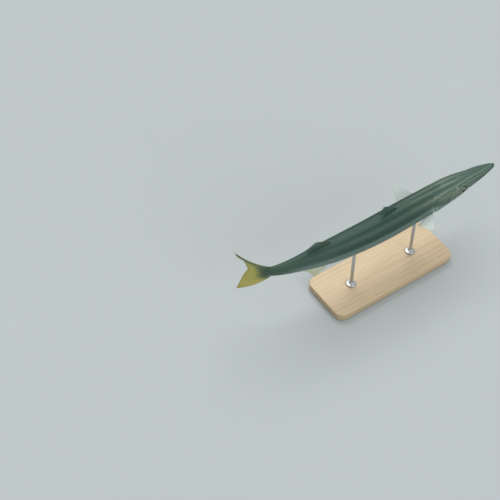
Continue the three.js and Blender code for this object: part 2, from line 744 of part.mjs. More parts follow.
addNode("dorsal_fin_first", midlineFin(FIRST_DORSAL), COLOURS.spinyFin, 0.4);
addNode("dorsal_fin_second", midlineFin(SECOND_DORSAL), COLOURS.yellowFin, 0.35);
addNode("anal_fin", midlineFin(ANAL), COLOURS.yellowFin, 0.35);
addNode("caudal_fin_upper", caudalLobe(UPPER_LOBE), COLOURS.tailFin, 0.35);
addNode("caudal_fin_lower", caudalLobe(LOWER_LOBE), COLOURS.tailFin, 0.35);

addNode("stand_base", makeBase(), COLOURS.wood, 0.55);
addNode("stand_rod_front", makeRod(RODS.front), COLOURS.steel, 0.3, 1);
addNode("stand_rod_rear", makeRod(RODS.rear), COLOURS.steel, 0.3, 1);

export default barracuda;
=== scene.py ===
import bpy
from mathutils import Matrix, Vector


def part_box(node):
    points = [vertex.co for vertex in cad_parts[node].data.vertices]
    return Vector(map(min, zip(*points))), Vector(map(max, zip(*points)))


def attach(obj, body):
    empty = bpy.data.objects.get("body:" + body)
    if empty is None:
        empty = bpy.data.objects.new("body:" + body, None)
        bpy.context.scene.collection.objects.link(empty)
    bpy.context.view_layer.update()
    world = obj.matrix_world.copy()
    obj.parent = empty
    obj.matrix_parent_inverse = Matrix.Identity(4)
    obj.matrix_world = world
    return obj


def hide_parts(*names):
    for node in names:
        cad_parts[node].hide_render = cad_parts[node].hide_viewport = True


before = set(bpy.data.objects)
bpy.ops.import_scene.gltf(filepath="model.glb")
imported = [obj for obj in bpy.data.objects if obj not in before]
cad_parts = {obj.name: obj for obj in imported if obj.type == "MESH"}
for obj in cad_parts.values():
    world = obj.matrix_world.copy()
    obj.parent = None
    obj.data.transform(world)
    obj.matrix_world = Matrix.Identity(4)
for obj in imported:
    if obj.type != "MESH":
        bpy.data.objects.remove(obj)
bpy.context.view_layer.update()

import math

import bpy
import numpy as np
from mathutils import Vector

# The skin
# One wet skin over skull, jaws, gill covers, trunk and tail stem, lofted from cross sections along a bent
# backbone. The mouth, lips, nostrils, eye sockets and gill openings are worked into it, and it thins out
# over the roots of the tail fin's rays.
mm = 0.001
STANDARD_LENGTH = 400 * mm
TAIL_ROOT = 1.012
AXIS_HEIGHT = 112 * mm
ROD_PLACES = (0.375, 0.655)
SLOW_BEND = 0.47
SLOW_BEND_GROWS = (0.45, 0.55)
TAIL_BEND = 3.6
TAIL_BEND_GROWS = (0.86, 1.0)
SPINE_STEP = 0.005
SPINE_END = 1.15


def smooth(value, low, high):
    share = np.clip((value - low) / (high - low), 0, 1)
    return share * share * (3 - 2 * share)


def between(value, start, full, fading, end):
    """A smooth rise from start to full, and a smooth fall from fading to end."""
    return smooth(value, start, full) * (1 - smooth(value, fading, end))


def mixed(a, b, share):
    return a + (b - a) * share


# Places along the fish are shares of its standard length from the tip of the lower jaw. The backbone is
# traced in short steps, and then laid so that both rods of the stand meet it on the X axis.
step_middles = np.arange(0, SPINE_END, SPINE_STEP) + SPINE_STEP / 2
bends = SLOW_BEND * smooth(step_middles, *SLOW_BEND_GROWS)
bends += (TAIL_BEND - SLOW_BEND) * smooth(step_middles, *TAIL_BEND_GROWS)
turns = bends * SPINE_STEP
headings = -np.concatenate([[0], np.cumsum(turns)])
step_headings = headings[:-1] - turns / 2
spine_steps = np.stack([np.cos(step_headings), np.sin(step_headings)]) * SPINE_STEP * STANDARD_LENGTH
spine_line = -np.concatenate([np.zeros((2, 1)), np.cumsum(spine_steps, axis=1)], axis=1)
spine_places = np.arange(len(headings)) * SPINE_STEP
rod_spots = np.array([[np.interp(at, spine_places, row) for row in spine_line] for at in ROD_PLACES])
turned = -math.atan2(rod_spots[0, 1] - rod_spots[1, 1], rod_spots[0, 0] - rod_spots[1, 0])
turning = np.array([[math.cos(turned), -math.sin(turned)], [math.sin(turned), math.cos(turned)]])
spine_line = turning @ (spine_line - rod_spots.mean(axis=0)[:, None])
headings = headings + turned


def heading_at(at):
    return np.interp(at, spine_places, headings)


def point(at, left, height, forward=0.0):
    """A place along the fish, a distance to its left, a height over the backbone and a step forward."""
    at, left, height, forward = np.broadcast_arrays(at, left, height, forward)
    x, y = (np.interp(at, spine_places, row) for row in spine_line)
    heading = heading_at(at)
    x = x + forward * np.cos(heading) - left * np.sin(heading)
    y = y + forward * np.sin(heading) + left * np.cos(heading)
    return np.stack([x, y, AXIS_HEIGHT + height], axis=-1)


SECTIONS = np.array(
    [
        # place, back, belly, flank, squareness of the upper half, of the lower half
        (0, 2.6, 4.0, 3.6, 2.2, 2.0),
        (0.032, 6.1, 7.3, 6.2, 2.3, 1.9),
        (0.076, 9.6, 11.4, 9.6, 2.5, 1.8),
        (0.13, 12.6, 14.3, 11.8, 2.6, 1.8),
        (0.19, 17.2, 19.3, 15.2, 2.6, 1.9),
        (0.25, 20.6, 21.2, 17.2, 2.4, 2.0),
        (0.35, 22.9, 23.1, 18.4, 2.1, 2.0),
        (0.5, 24.1, 24.2, 19.3, 2.0, 2.0),
        (0.64, 22.8, 22.6, 18.2, 2.0, 2.0),
        (0.76, 20.1, 19.9, 15.8, 2.0, 2.0),
        (0.83, 17.0, 16.8, 12.7, 2.0, 2.0),
        (0.9, 13.2, 13.0, 9.2, 2.0, 2.0),
        (0.97, 9.5, 9.4, 5.7, 2.0, 2.0),
        (TAIL_ROOT, 9.5, 9.5, 2.3, 2.0, 2.0),
    ]
) * [1, mm, mm, mm, 1, 1]
SNOUT_ROUNDING = 0.012
UPPER_JAW_SETBACK = 3.2 * mm
SETBACK_FADE = 0.1
STEM_SPREAD = 0.1
STEM_THINNING = 1.2 * mm
TAIL_CUP = 6 * mm
TAIL_BOW = 9 * mm
LOBE_REACH = 40 * mm
LOBE_CORNER = 0.16


def section(at):
    """Back, belly, flank and the two squarenesses at a place, smooth between the listed sections.
    Behind the root of the tail fin the flank thins out while the stem spreads with the fin's rays."""
    at = np.asarray(at, float)
    places, sizes = SECTIONS[:, 0], SECTIONS[:, 1:]
    count = len(places)
    before = np.maximum(np.arange(count) - 1, 0)
    after = np.minimum(np.arange(count) + 1, count - 1)
    slopes = (sizes[after] - sizes[before]) / (places[after] - places[before])[:, None]
    first = np.clip(np.searchsorted(places, at) - 1, 0, count - 2)
    span = (places[first + 1] - places[first])[..., None]
    t = np.clip((at - places[first])[..., None] / span, 0, 1)
    found = (2 * t**3 - 3 * t**2 + 1) * sizes[first] + (3 * t**2 - 2 * t**3) * sizes[first + 1]
    found += ((t**3 - 2 * t**2 + t) * slopes[first] + (t**3 - t**2) * slopes[first + 1]) * span
    found[..., :3] *= np.sqrt(1 - (1 - np.minimum(at / SNOUT_ROUNDING, 1)) ** 2)[..., None]
    behind = np.maximum(at - TAIL_ROOT, 0) * STANDARD_LENGTH
    found[..., :2] += (STEM_SPREAD * behind)[..., None]
    found[..., 2] *= np.exp(-((behind / STEM_THINNING) ** 1.5))
    return np.moveaxis(found, -1, 0)


def lobe_sway(share_of_reach, inner):
    """How far to the left the tail fin bends, at its middle rays (inner 1) or leading rays (inner 0)."""
    share = np.clip(share_of_reach, 0, 1)
    cup = TAIL_CUP * inner * np.minimum(share * 1.7, 1) ** 1.5
    return cup - TAIL_BOW * (1 - inner) * np.sin(math.pi * share)


def surface(at, angle, out=0.0, setback=0.0):
    """Points of the skin at an angle round the section: 0 is the left flank, 90 degrees the back."""
    at, angle, out, setback = np.broadcast_arrays(at, angle, out, setback)
    back, belly, flank, upper, lower = section(at)
    above = np.sin(angle) >= 0
    power = np.where(above, upper, lower)
    tall, wide = (np.maximum(size, 0.001 * mm) for size in (np.where(above, back, belly), flank))
    cosine, sine = np.cos(angle), np.sin(angle)
    left = wide * np.sign(cosine) * abs(cosine) ** (2 / power)
    height = tall * np.sign(sine) * abs(sine) ** (2 / power)
    normal_left = np.sign(left) * abs(left / wide) ** (power - 1) / wide
    normal_up = np.sign(height) * abs(height / tall) ** (power - 1) / tall
    length = np.hypot(normal_left, normal_up)
    back_step = setback * (1 - smooth(at, 0, SETBACK_FADE))
    from_edge = (1 - LOBE_CORNER) * (1 - abs(height) / tall) + LOBE_CORNER
    sway = lobe_sway((at - TAIL_ROOT) * STANDARD_LENGTH / LOBE_REACH, smooth(from_edge, 0, 0.6))
    left = left + out * normal_left / length + sway
    return point(at, left, height + out * normal_up / length, -back_step)


def height_on_skin(at, angle):
    back, belly, _, upper, lower = section(at)
    sine = np.sin(angle)
    tall, power = np.where(sine >= 0, [back, upper], [belly, lower])
    return tall * np.sign(sine) * abs(sine) ** (2 / power)


def angle_at_height(at, height):
    """The angle on the left flank at which the skin has this height."""
    back, belly, _, upper, lower = section(at)
    above = np.asarray(height) >= 0
    tall, power = np.where(above, [back, upper], [belly, lower])
    return np.arcsin(np.minimum(abs(height) / tall, 1) ** (power / 2)) * np.where(above, 1, -1)


def flank_point(at, height, side, out=0.0):
    angle = angle_at_height(at, height)
    return surface(at, angle if side > 0 else math.pi - angle, out)


BARE_INSET = 0.05 * mm
SCALED_INSET = 0.36 * mm
MOUTH_TIP_HEIGHT = -0.3
MOUTH_CORNER = 0.137
MOUTH_CORNER_HEIGHT = -5.6
LIP_FORMS = (0, 0.03)
LIP_ENDS = (0.128, 0.143)
JAW_END = 0.205
JAW_END_HEIGHT = -22.0
JAW_PORES = (13, 21, 30, 39, 48)
PORES_BELOW_MOUTH = 4.2
NOSTRILS = ((58.0, 1.0), (62.6, 1.35))
NOSTRIL_HEIGHT = 6.6
EYE_AT = 0.19
EYE_HEIGHT = 1.4 * mm
EYE_RADIUS = 8.1 * mm
GILL_FRONT = 0.236
GILL_REAR = 0.329
GILL_TOP = 13.0
GILL_BOTTOM = -17.5
GILL_TROUGH = 4.2
THROAT_TROUGH = 5.0
CROWN_RIDGES = ((81, 0.26), (66, 0.34), (53, 0.24))


def mouth_height(at):
    """Height of the mouth line in millimetres."""
    return mixed(MOUTH_TIP_HEIGHT, MOUTH_CORNER_HEIGHT, np.minimum(at / MOUTH_CORNER, 1) ** 1.9)


def ridge(distance, width):
    return np.exp(-((distance / width) ** 2))


def lap(distance, rise, run, drop, recovery, fall=0.5):
    """A lapping edge: the skin rises towards it, drops over the fall behind it and recovers further on."""
    before = rise * smooth(distance, -run, -0.6) * (1 - smooth(distance, -fall / 2, fall / 2))
    behind = smooth(distance, -fall / 4, fall * 0.75) * (1 - smooth(distance, fall * 0.8, recovery))
    return before - drop * behind


def gill_edge(height):
    """How far back, in millimetres, the gill cover reaches at a height, and how free its edge is."""
    share = (height - (GILL_TOP + GILL_BOTTOM) / 2) / ((GILL_TOP - GILL_BOTTOM) / 2)
    half = (GILL_REAR - GILL_FRONT) / 2
    reach = (GILL_FRONT + GILL_REAR) / 2 + half * np.maximum(1 - abs(share * 0.985) ** 2.5, 0) ** 0.4
    return (reach + 0.006 * share) * STANDARD_LENGTH / mm, 1 - smooth(abs(share), 0.86, 1.04)


def throat_edge(turn):
    """Where the gill cover's lower edge lies, from the flank to the middle of the throat."""
    return mixed(0.328, 0.2, smooth(-turn, 50, 88) ** 1.2)


def cheek_edge(height):
    """Where the cheek's bony flange ends: straight down behind the eye, then forward under it."""
    return 94.4 - 13.6 * smooth(-height, 6, 19) ** 2 - 2.4 * smooth(height, -2, 8)


# The relief of each part of the head, in millimetres, as along and height are: the distances from the snout
# and over the backbone. at is a share of the standard length, and turn an angle in degrees.
def mouth_relief(at, along, height):
    """The closed mouth between two fleshy lips, and the upper jaw's long plate with the folds behind it."""
    above_mouth = height - mouth_height(at)
    lips = 1 - smooth(at, *LIP_ENDS)
    fleshy = lips * smooth(at, *LIP_FORMS)
    relief = -1.5 * (0.35 * lips + 0.65 * fleshy) * ridge(above_mouth, 0.2)
    relief += 0.32 * fleshy * ridge(abs(above_mouth) - 0.95, 0.5)
    relief -= 0.2 * fleshy * ridge(abs(above_mouth) - 2.2, 0.45)

    top = mixed(1.5, 5.4, smooth(at, 0.05, 0.135))
    low = mixed(0, -2.6, smooth(at, 0.122, 0.14))
    end = 58.9 - 0.16 * (above_mouth - (top + low) / 2) ** 2
    plate = between(above_mouth, low, low + 0.5, top - 0.6, top)
    plate = plate * (1 - smooth(along, end - 0.5, end + 0.2))
    groove = (1 - smooth(along, 58, 60)) * ridge(above_mouth - top - 0.5, 0.5)
    relief += smooth(at, 0.05, 0.08) * (0.42 * plate - 0.2 * groove)
    folds = between(along, 54, 57, 60, 67) * ridge(height + 9.5, 4)
    return relief + 0.14 * folds * np.sin(along * 2.1 - height * 1.3)


def lower_jaw_relief(at, along, height, turn):
    """A groove with a row of pores along the lower jaw's side, and the free edge of its hind end."""
    from_pores = height - mouth_height(at) + PORES_BELOW_MOUTH
    groove = (1 - smooth(at, *LIP_ENDS)) * smooth(at, *LIP_FORMS) * smooth(at, 0.02, 0.05)
    relief = -0.12 * groove * ridge(from_pores, 0.5)
    for pore in JAW_PORES:
        relief -= 0.35 * ridge(np.hypot(along - pore, from_pores), 0.55)
    down = ((MOUTH_CORNER_HEIGHT - height) / (MOUTH_CORNER_HEIGHT - JAW_END_HEIGHT)).clip(0, 1)
    end = mixed(MOUTH_CORNER, JAW_END, down**1.5) * STANDARD_LENGTH / mm
    free = smooth(MOUTH_CORNER_HEIGHT - height, 0, 2.5) * (1 - smooth(-turn, 62, 84))
    return relief + free * lap(along - end, 0.25, 9, 0.5, 2.8)


def nostril_relief(along, height):
    relief = 0
    for place, size in NOSTRILS:
        away = np.hypot((along - place) / 1.3, height - NOSTRIL_HEIGHT)
        relief = relief - 1.2 * np.exp(-((away / (0.72 * size)) ** 4))
        relief = relief + 0.25 * ridge(away - 1.25 * size, 0.4)
    return relief


def socket_relief(along, height):
    """The eye's deep socket with its raised rim, and the small bones round its lower half."""
    behind, above = along - EYE_AT * STANDARD_LENGTH / mm, height - EYE_HEIGHT / mm
    away = np.hypot(behind, above) - EYE_RADIUS / mm
    bearing = np.arctan2(above, behind)
    bones = 0.2 * between(away, 2.4, 3.4, 4.4, 5.0)
    bones = bones - 0.22 * ridge(away - 2.3, 0.5) - 0.2 * ridge(away - 5.2, 0.5)
    bones -= 0.12 * ridge(np.sin(bearing * 5), 0.16) * ridge(away - 3.8, 1.1)
    rim = 0.42 * ridge(away - 0.9, 0.75) - 4.6 * (1 - smooth(away, -1.0, 0.15))
    return rim + smooth(-np.sin(bearing), -0.25, 0.25) * bones


def cheek_relief(along, height):
    """A bony flange with fine spokes behind a curved ridge, and its free hind edge."""
    behind = along - cheek_edge(height)
    relief = lap(behind, 0.32, 12, 0.42, 3)
    relief = relief + 0.26 * ridge(behind + 5.6, 0.6) - 0.24 * ridge(behind + 4.2, 0.8)
    relief += 0.07 * between(behind, -4.6, -3.6, -1.2, -0.4) * np.sin(height * 4.4 + along * 0.7)
    return relief * between(height, -19.5, -17, 5, 9)


def gill_cover_relief(along, height):
    """Two low ridges that run to the gill cover's point, lines of growth, and its free hind edge."""
    edge, free = gill_edge(height)
    behind = along - edge
    cover = smooth(along, 96, 101) * (1 - smooth(behind, -5, -2)) * between(height, -17, -14, 10, 13)
    relief = 0.26 * ridge(height - mixed(9.5, 2.2, smooth(along, 96, 130)), 0.75)
    relief += 0.2 * ridge(height - mixed(-1.5, -6.5, smooth(along, 96, 126)), 0.8)
    relief -= 0.04 * np.sin(behind * 2.6)
    edge_relief = lap(behind, 0.62, 24, 1.0, GILL_TROUGH, 1.3) - 0.16 * ridge(behind + 2.4, 0.5)
    return cover * relief + free * edge_relief


def throat_relief(at, turn):
    """Folds over the rods that spread the throat, a groove on its middle, the gill covers' lower edges."""
    throat = between(at, 0.15, 0.2, 0.29, 0.325) * smooth(-turn, 52, 60)
    folds = 0.15 * np.sin(np.radians(turn * 30 + at * 2600)) * (1 - smooth(-turn, 80, 86))
    behind = (at - throat_edge(turn)) * STANDARD_LENGTH / mm
    covers = between(-turn, 49, 63, 84, 89) * lap(behind, 0.3, 8, 0.7, THROAT_TROUGH, 1.4)
    return throat * (folds - 0.8 * ridge(turn + 90, 2.2)) + covers


def crown_relief(at, turn):
    """The top of the skull: parallel bony ridges between and behind the eyes, with fine grooves."""
    relief = 0.06 * smooth(turn, 50, 60) * np.sin(np.radians(turn * 75 + 800 * at))
    for place, height in CROWN_RIDGES:
        relief += height * ridge(turn - place - 22 * (EYE_AT - at), 2.4)
    return relief * between(at, 0.06, 0.11, 0.24, 0.28)


def head_relief(at, angle):
    """How far, in metres, the skin of the head stands out from the plain loft."""
    along = at * STANDARD_LENGTH / mm
    height = height_on_skin(at, angle) / mm
    turn = np.degrees(angle)
    relief = mouth_relief(at, along, height) + lower_jaw_relief(at, along, height, turn)
    relief += nostril_relief(along, height) + socket_relief(along, height) + cheek_relief(along, height)
    relief += gill_cover_relief(along, height) + throat_relief(at, turn) + crown_relief(at, turn)
    return relief * smooth(at, 0.0004, 0.009) * mm


def behind_head(at, angle):
    """How far a place lies behind the front edge of the body's scales, which start over the nape, behind
    the gill openings and on the throat."""
    height = height_on_skin(at, angle) / mm
    turn = np.degrees(angle)
    edge, _ = gill_edge(height - 2.5 * smooth(height, 0, 8))
    nape = mixed(0.318, 0.262, smooth(turn, 50, 80))
    beside = nape + 0.019 * smooth(-height, 10, 14)
    beside = np.maximum((edge + GILL_TROUGH) * mm / STANDARD_LENGTH, beside)
    throat = mixed(0.325, 0.3, smooth(-turn, 60, 88))
    throat = np.maximum(throat, throat_edge(turn) + THROAT_TROUGH * mm / STANDARD_LENGTH)
    start = np.where(height > GILL_TOP + 2.5, nape, np.where(height < GILL_BOTTOM, throat, beside))
    return at - start


def worked(at, angle):
    """The relief of the head, faded out where the body begins."""
    return head_relief(at, angle) * (1 - smooth(at, 0.335, 0.345))


SIDE_SECTORS = 126
MOUTH_LINE = 68
FINE_FROM = 0.312
HEAD_TO = 0.345
SKIN_END = 1.0155
HEAD_RING = 0.48 * mm
FINE_RING = 0.275 * mm
BODY_RING = 3.5 * mm
END_RING = 0.2 * mm


def spaced(first, last, apart):
    """Places from the first to the last one, about this many metres apart."""
    return np.linspace(first, last, round((last - first) * STANDARD_LENGTH / apart))


rounding = SNOUT_ROUNDING * (1 - np.cos(np.linspace(0, math.pi / 2, 14)[1:-1]))
ring_places = np.concatenate([
    rounding,
    spaced(SNOUT_ROUNDING, FINE_FROM, HEAD_RING),
    spaced(FINE_FROM, HEAD_TO, FINE_RING)[1:],
    spaced(HEAD_TO, TAIL_ROOT, BODY_RING)[1:],
    spaced(TAIL_ROOT, SKIN_END, END_RING)[1:],
])

# The lines that run along the body: one of them lies in the mouth from the snout to its corner.
line_height = mouth_height(ring_places) * mm * smooth(ring_places, 0, SNOUT_ROUNDING)
mouth_angle = angle_at_height(ring_places, line_height)
mouth_angle = mixed(mouth_angle, math.radians(-16), smooth(ring_places, MOUTH_CORNER, 0.3))
upper_share = np.linspace(0, 1, MOUTH_LINE + 1)[None, :]
lower_share = np.linspace(0, 1, SIDE_SECTORS - MOUTH_LINE + 1)[None, 1:]
above_line = mixed(math.pi / 2, mouth_angle[:, None], upper_share)
below_line = mixed(mouth_angle[:, None], -math.pi / 2, lower_share)
side_angles = np.concatenate([above_line, below_line], axis=1)
side_places = np.repeat(ring_places[:, None], side_angles.shape[1], axis=1)
sunk = smooth(behind_head(side_places, side_angles), -0.004, 0.03)
side_out = worked(side_places, side_angles) - mixed(BARE_INSET, SCALED_INSET, sunk)
side_out = mixed(side_out, -0.1 * mm, smooth(side_places, TAIL_ROOT - 0.01, TAIL_ROOT + 0.01))
setbacks = np.where(np.arange(SIDE_SECTORS + 1) < MOUTH_LINE, UPPER_JAW_SETBACK, 0.0)
setbacks[MOUTH_LINE] = UPPER_JAW_SETBACK / 2


def both_sides(left, right):
    """From the belly up the left flank, over the back and down the right flank, in rings that close."""
    return np.concatenate([left[..., :0:-1], right[..., :-1]], axis=-1)


around = both_sides(side_angles, math.pi - side_angles)
around_turn = both_sides(side_angles, side_angles) / (math.pi / 2)
around_out, around_setback = both_sides(side_out, side_out), both_sides(setbacks, setbacks)
skin_points = surface(ring_places[:, None], around, around_out, around_setback[None, :])


def mesh_piece(name, points, faces, corner_uv=None, **numbers):
    """A piece from points and arrays of faces, with a number for each point under each given name."""
    mesh = bpy.data.meshes.new(name)
    points = np.asarray(points, np.float32).reshape(-1, 3)
    corners = np.concatenate([face.ravel() for face in faces]).astype(np.int32)
    sizes = np.concatenate([np.full(len(face), face.shape[1]) for face in faces])
    mesh.vertices.add(len(points))
    mesh.vertices.foreach_set("co", points.ravel())
    mesh.loops.add(len(corners))
    mesh.loops.foreach_set("vertex_index", corners)
    mesh.polygons.add(len(sizes))
    mesh.polygons.foreach_set("loop_start", (np.cumsum(sizes) - sizes).astype(np.int32))
    mesh.update(calc_edges=True)
    mesh.shade_smooth()
    for number, values in numbers.items():
        values = np.ascontiguousarray(np.broadcast_to(values, (len(points),)), np.float32)
        mesh.attributes.new(number, "FLOAT", "POINT").data.foreach_set("value", values)
    if corner_uv is not None:
        mesh.uv_layers.new(name="OFBake").uv.foreach_set("vector", corner_uv.astype(np.float32).ravel())
    piece = bpy.data.objects.new(name, mesh)
    bpy.context.scene.collection.objects.link(piece)
    return piece


def mount(piece, material, slot, *nodes):
    """Gives a piece its material, fixes it to the model, and lets it stand for these nodes. The slot is not
    used.
    """
    piece.data.materials.append(material)
    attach(piece, "root")
    if nodes:
        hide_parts(*nodes)


def grid_faces(rows, columns, closed=False):
    """Faces of a grid of points, with the last column joined to the first one if closed."""
    row = np.arange(rows - 1)[:, None]
    column = np.arange(columns if closed else columns - 1)[None, :]
    after = (column + 1) % columns
    here, beyond = row * columns, (row + 1) * columns
    return np.stack([here + column, here + after, beyond + after, beyond + column], axis=-1).reshape(-1, 4)


def capped_faces(rows, columns):
    """Faces of closed rings with a middle point at each end. Those two points come after the rings."""
    ring = np.arange(columns)
    after = (ring + 1) % columns
    last = (rows - 1) * columns
    first_fan = np.stack([np.full(columns, rows * columns), after, ring], axis=1)
    last_fan = np.stack([np.full(columns, rows * columns + 1), last + ring, last + after], axis=1)
    return [grid_faces(rows, columns, closed=True), first_fan, last_fan]


def unwrapped(at, share_round):
    """The place of a point on the unrolled skin, which scales and skin share."""
    spots = np.broadcast_arrays(0.01 + 0.94 * np.asarray(at), 0.01 + 0.98 * np.asarray(share_round))
    return np.stack(spots, axis=-1)


sectors = skin_points.shape[1]
skin_faces = [face[:, ::-1] for face in capped_faces(len(ring_places), sectors)]
end_sway = lobe_sway((SKIN_END - TAIL_ROOT) * STANDARD_LENGTH / LOBE_REACH, 1.0)
skin_ends = [point(0, 0, -0.3 * mm, -BARE_INSET), point(SKIN_END, end_sway, 0)]
ring_uv = unwrapped(ring_places[:, None], np.arange(sectors + 1)[None, :] / sectors)
middle_share = (np.arange(sectors) + 0.5) / sectors
ring_uv = [
    [ring_uv[1:, :-1], ring_uv[1:, 1:], ring_uv[:-1, 1:], ring_uv[:-1, :-1]],
    [ring_uv[0, :-1], ring_uv[0, 1:], unwrapped(-0.005, middle_share)],
    [ring_uv[-1, 1:], ring_uv[-1, :-1], unwrapped(SKIN_END + 0.005, middle_share)],
]
skin = mesh_piece(
    "skin",
    np.concatenate([skin_points.reshape(-1, 3), skin_ends]),
    skin_faces,
    np.concatenate([np.stack(corners, axis=-2).reshape(-1, 2) for corners in ring_uv]),
    place=np.append(np.repeat(ring_places, sectors), [0, SKIN_END]),
    turn=np.append(around_turn.ravel(), [0, 0]),
    lot=0.5,
)


class Wire:
    """A socket of a material's nodes. Sums and products take it as they take a number."""

    def __init__(self, socket):
        self.socket = socket

    def node(self, kind, settings=None, inputs=None, output=0):
        nodes, links = self.socket.id_data.nodes, self.socket.id_data.links
        made = nodes.new("ShaderNode" + kind)
        for name, value in (settings or {}).items():
            setattr(made, name, value)
        for name, value in (inputs or {}).items():
            if isinstance(value, Wire):
                links.new(value.socket, made.inputs[name])
            else:
                made.inputs[name].default_value = value
        return Wire(made.outputs[output])

    def maths(self, operation, *values):
        return self.node("Math", {"operation": operation}, dict(enumerate(values)))

    def __add__(self, other):
        return self.maths("ADD", self, other)

    def __radd__(self, other):
        return self.maths("ADD", other, self)

    def __sub__(self, other):
        return self.maths("SUBTRACT", self, other)

    def __rsub__(self, other):
        return self.maths("SUBTRACT", other, self)

    def __mul__(self, other):
        return self.maths("MULTIPLY", self, other)

    def __rmul__(self, other):
        return self.maths("MULTIPLY", other, self)

    def __truediv__(self, other):
        return self.maths("DIVIDE", self, other)

    def __pow__(self, other):
        return self.maths("POWER", self, other)

    def __abs__(self):
        return self.maths("ABSOLUTE", self)

    def larger(self, other):
        return self.maths("MAXIMUM", self, other)

    def sine(self):
        return self.maths("SINE", self)

    def rises(self, low, high):
        """0 at low and 1 at high, with a smooth rise between them."""
        limits = {"Value": self, "From Min": low, "From Max": high}
        return self.node("MapRange", {"interpolation_type": "SMOOTHSTEP"}, limits)

    def between(self, start, full, fading, end):
        """A smooth rise from start to full, and a smooth fall from fading to end."""
        return self.rises(start, full) * (1 - self.rises(fading, end))

    def band(self, centre, half, soft):
        """1 within half of the centre, fading over soft on both sides."""
        return 1 - abs(self - centre).rises(half - soft / 2, half + soft / 2)

    def mix(self, base, over):
        """The base colour under the other one, with self as the other's strength."""
        return self.node("Mix", {"data_type": "RGBA"}, {0: self, 6: base, 7: over}, output=2)

    def noise_over(self, vector, scale, detail, roughness):
        settings = {"Vector": vector, "Scale": scale, "Detail": detail, "Roughness": roughness}
        return self.node("TexNoise", None, settings)

    def noise(self, scale, detail=2.0, roughness=0.5, stretch=(1, 1, 1)):
        place = self.node("TexCoord", output="Object")
        place = self.node("VectorMath", {"operation": "MULTIPLY"}, {0: place, 1: stretch})
        return self.noise_over(place, scale, detail, roughness)

    def distance(self, axis):
        """How far along the X, Y or Z axis of the model a point lies."""
        return self.node("SeparateXYZ", None, {0: self.node("TexCoord", output="Object")}, axis)

    def number(self, name):
        """A number that the mesh holds for each of its points."""
        return self.node("Attribute", {"attribute_name": name}, output="Fac")

    def bumped(self, strength, distance):
        return self.node("Bump", None, {"Strength": strength, "Distance": distance, "Height": self})

    def to(self, socket):
        socket.id_data.links.new(self.socket, socket)


def finish_named(name, **constants):
    """A material, its shader's sockets, and a wire to start from. The constants are the shader's values."""
    material = bpy.data.materials.new(name)
    material.use_nodes = True
    shader = material.node_tree.nodes["Principled BSDF"]
    for socket, value in constants.items():
        shader.inputs[socket.replace("_", " ")].default_value = value
    return material, shader.inputs, Wire(shader.outputs[0])


HEAD_MIDDLE = (0.078, 0.122, 0.098, 1)
HEAD_DARK = (0.041, 0.081, 0.068, 1)
HEAD_PALE = (0.195, 0.232, 0.165, 1)
BODY_MIDDLE = (0.050, 0.095, 0.074, 1)
BODY_DARK = (0.027, 0.062, 0.049, 1)
BODY_PALE = (0.088, 0.137, 0.100, 1)
FLANK = (0.190, 0.262, 0.232, 1)
PEARL = (0.42, 0.50, 0.48, 1)
PEARL_GREY = (0.44, 0.47, 0.48, 1)
BELLY = (0.80, 0.83, 0.80, 1)
# The dark of the side line, also used for the painted shade at the root of the breast fin.
SIDE_LINE_AND_SHADE_DARK = (0.026, 0.060, 0.056, 1)
STEM_OLIVE = (0.072, 0.130, 0.085, 1)


# The colours go by the place along the fish and by degrees round it: 90 on the middle of the back, 0 on the
# flank and -90 on the middle of the belly. wavy is the same with a slow wave along the fish.
def back_bands(place, degrees, wavy):
    """How strong the back's pale bands are, and the dark ones between them. On the head they run up towards
    the crown and grow thin."""
    head = 1 - place.rises(0.1, 0.34)
    not_snout = place.rises(0.04, 0.13)
    before_tail = 1 - place.rises(0.64, 0.86) * 0.85

    first_pale = degrees.band(78, 3.2, 5) * place.rises(0.14, 0.24) * (1 - place.rises(0.46, 0.6) * 0.7)
    climb = head * 14 + (1 - place.rises(0.04, 0.15)) * 6
    second_pale = (wavy - climb).band(44, 4.6 - head * 2, 5) * place.rises(0.02, 0.08) * (1 - head * 0.25)
    third_pale = wavy.band(31, 2.8, 4) * place.between(0.03, 0.07, 0.17, 0.24)
    pale = (first_pale * 0.8).larger(second_pale).larger(third_pale) * before_tail

    first_dark = (degrees - head * 13).band(62, 7, 6) * not_snout
    second_dark = (wavy - head * 9).band(36.5, 2.8, 4) * place.between(0.03, 0.08, 0.27, 0.34)
    third_dark = degrees.band(23, 7.5, 7) * place.rises(0.27, 0.36) * 0.8
    back_line = degrees.rises(83.5, 86.5) * not_snout * (1 - place.rises(0.36, 0.46))
    dark = first_dark.larger(second_dark).larger(third_dark).larger(back_line) * before_tail
    return pale * (0.7 + head * 0.15), dark * 0.9


def head_marked(colour, place, degrees, cloud):
    """Short wavy lines behind the eye and over the cheek, a pale arc behind the eye, and the dusky snout."""
    lines = ((degrees + place * 210 + cloud * 20) * (2 * math.pi / 9.5)).sine()
    lined = place.band(0.262, 0.05, 0.03) * degrees.band(32, 24, 12) + place.band(0.12, 0.1, 0.06) * 0.35
    colour = (lines.rises(0.1, 0.9) * lined * 0.6).mix(colour, HEAD_PALE)
    colour = (lines.rises(-0.1, -0.9) * lined * 0.4).mix(colour, HEAD_DARK)
    behind_eye = place * 400 - 87.5 - ((degrees - 26) * 0.075) ** 2
    arc = behind_eye.band(0, 1.9, 3.0) * degrees.band(34, 12, 14)
    cheek = place.band(0.25, 0.05, 0.04) * degrees.band(16, 14, 14) * 0.4
    colour = arc.larger(cheek).mix(colour, HEAD_PALE)
    snout = (1 - place.rises(0.07, 0.18)) * (0.1 + degrees.rises(64, 76) * 0.65)
    return snout.larger((1 - place.rises(0.005, 0.03)) * 0.8).mix(colour, HEAD_DARK)


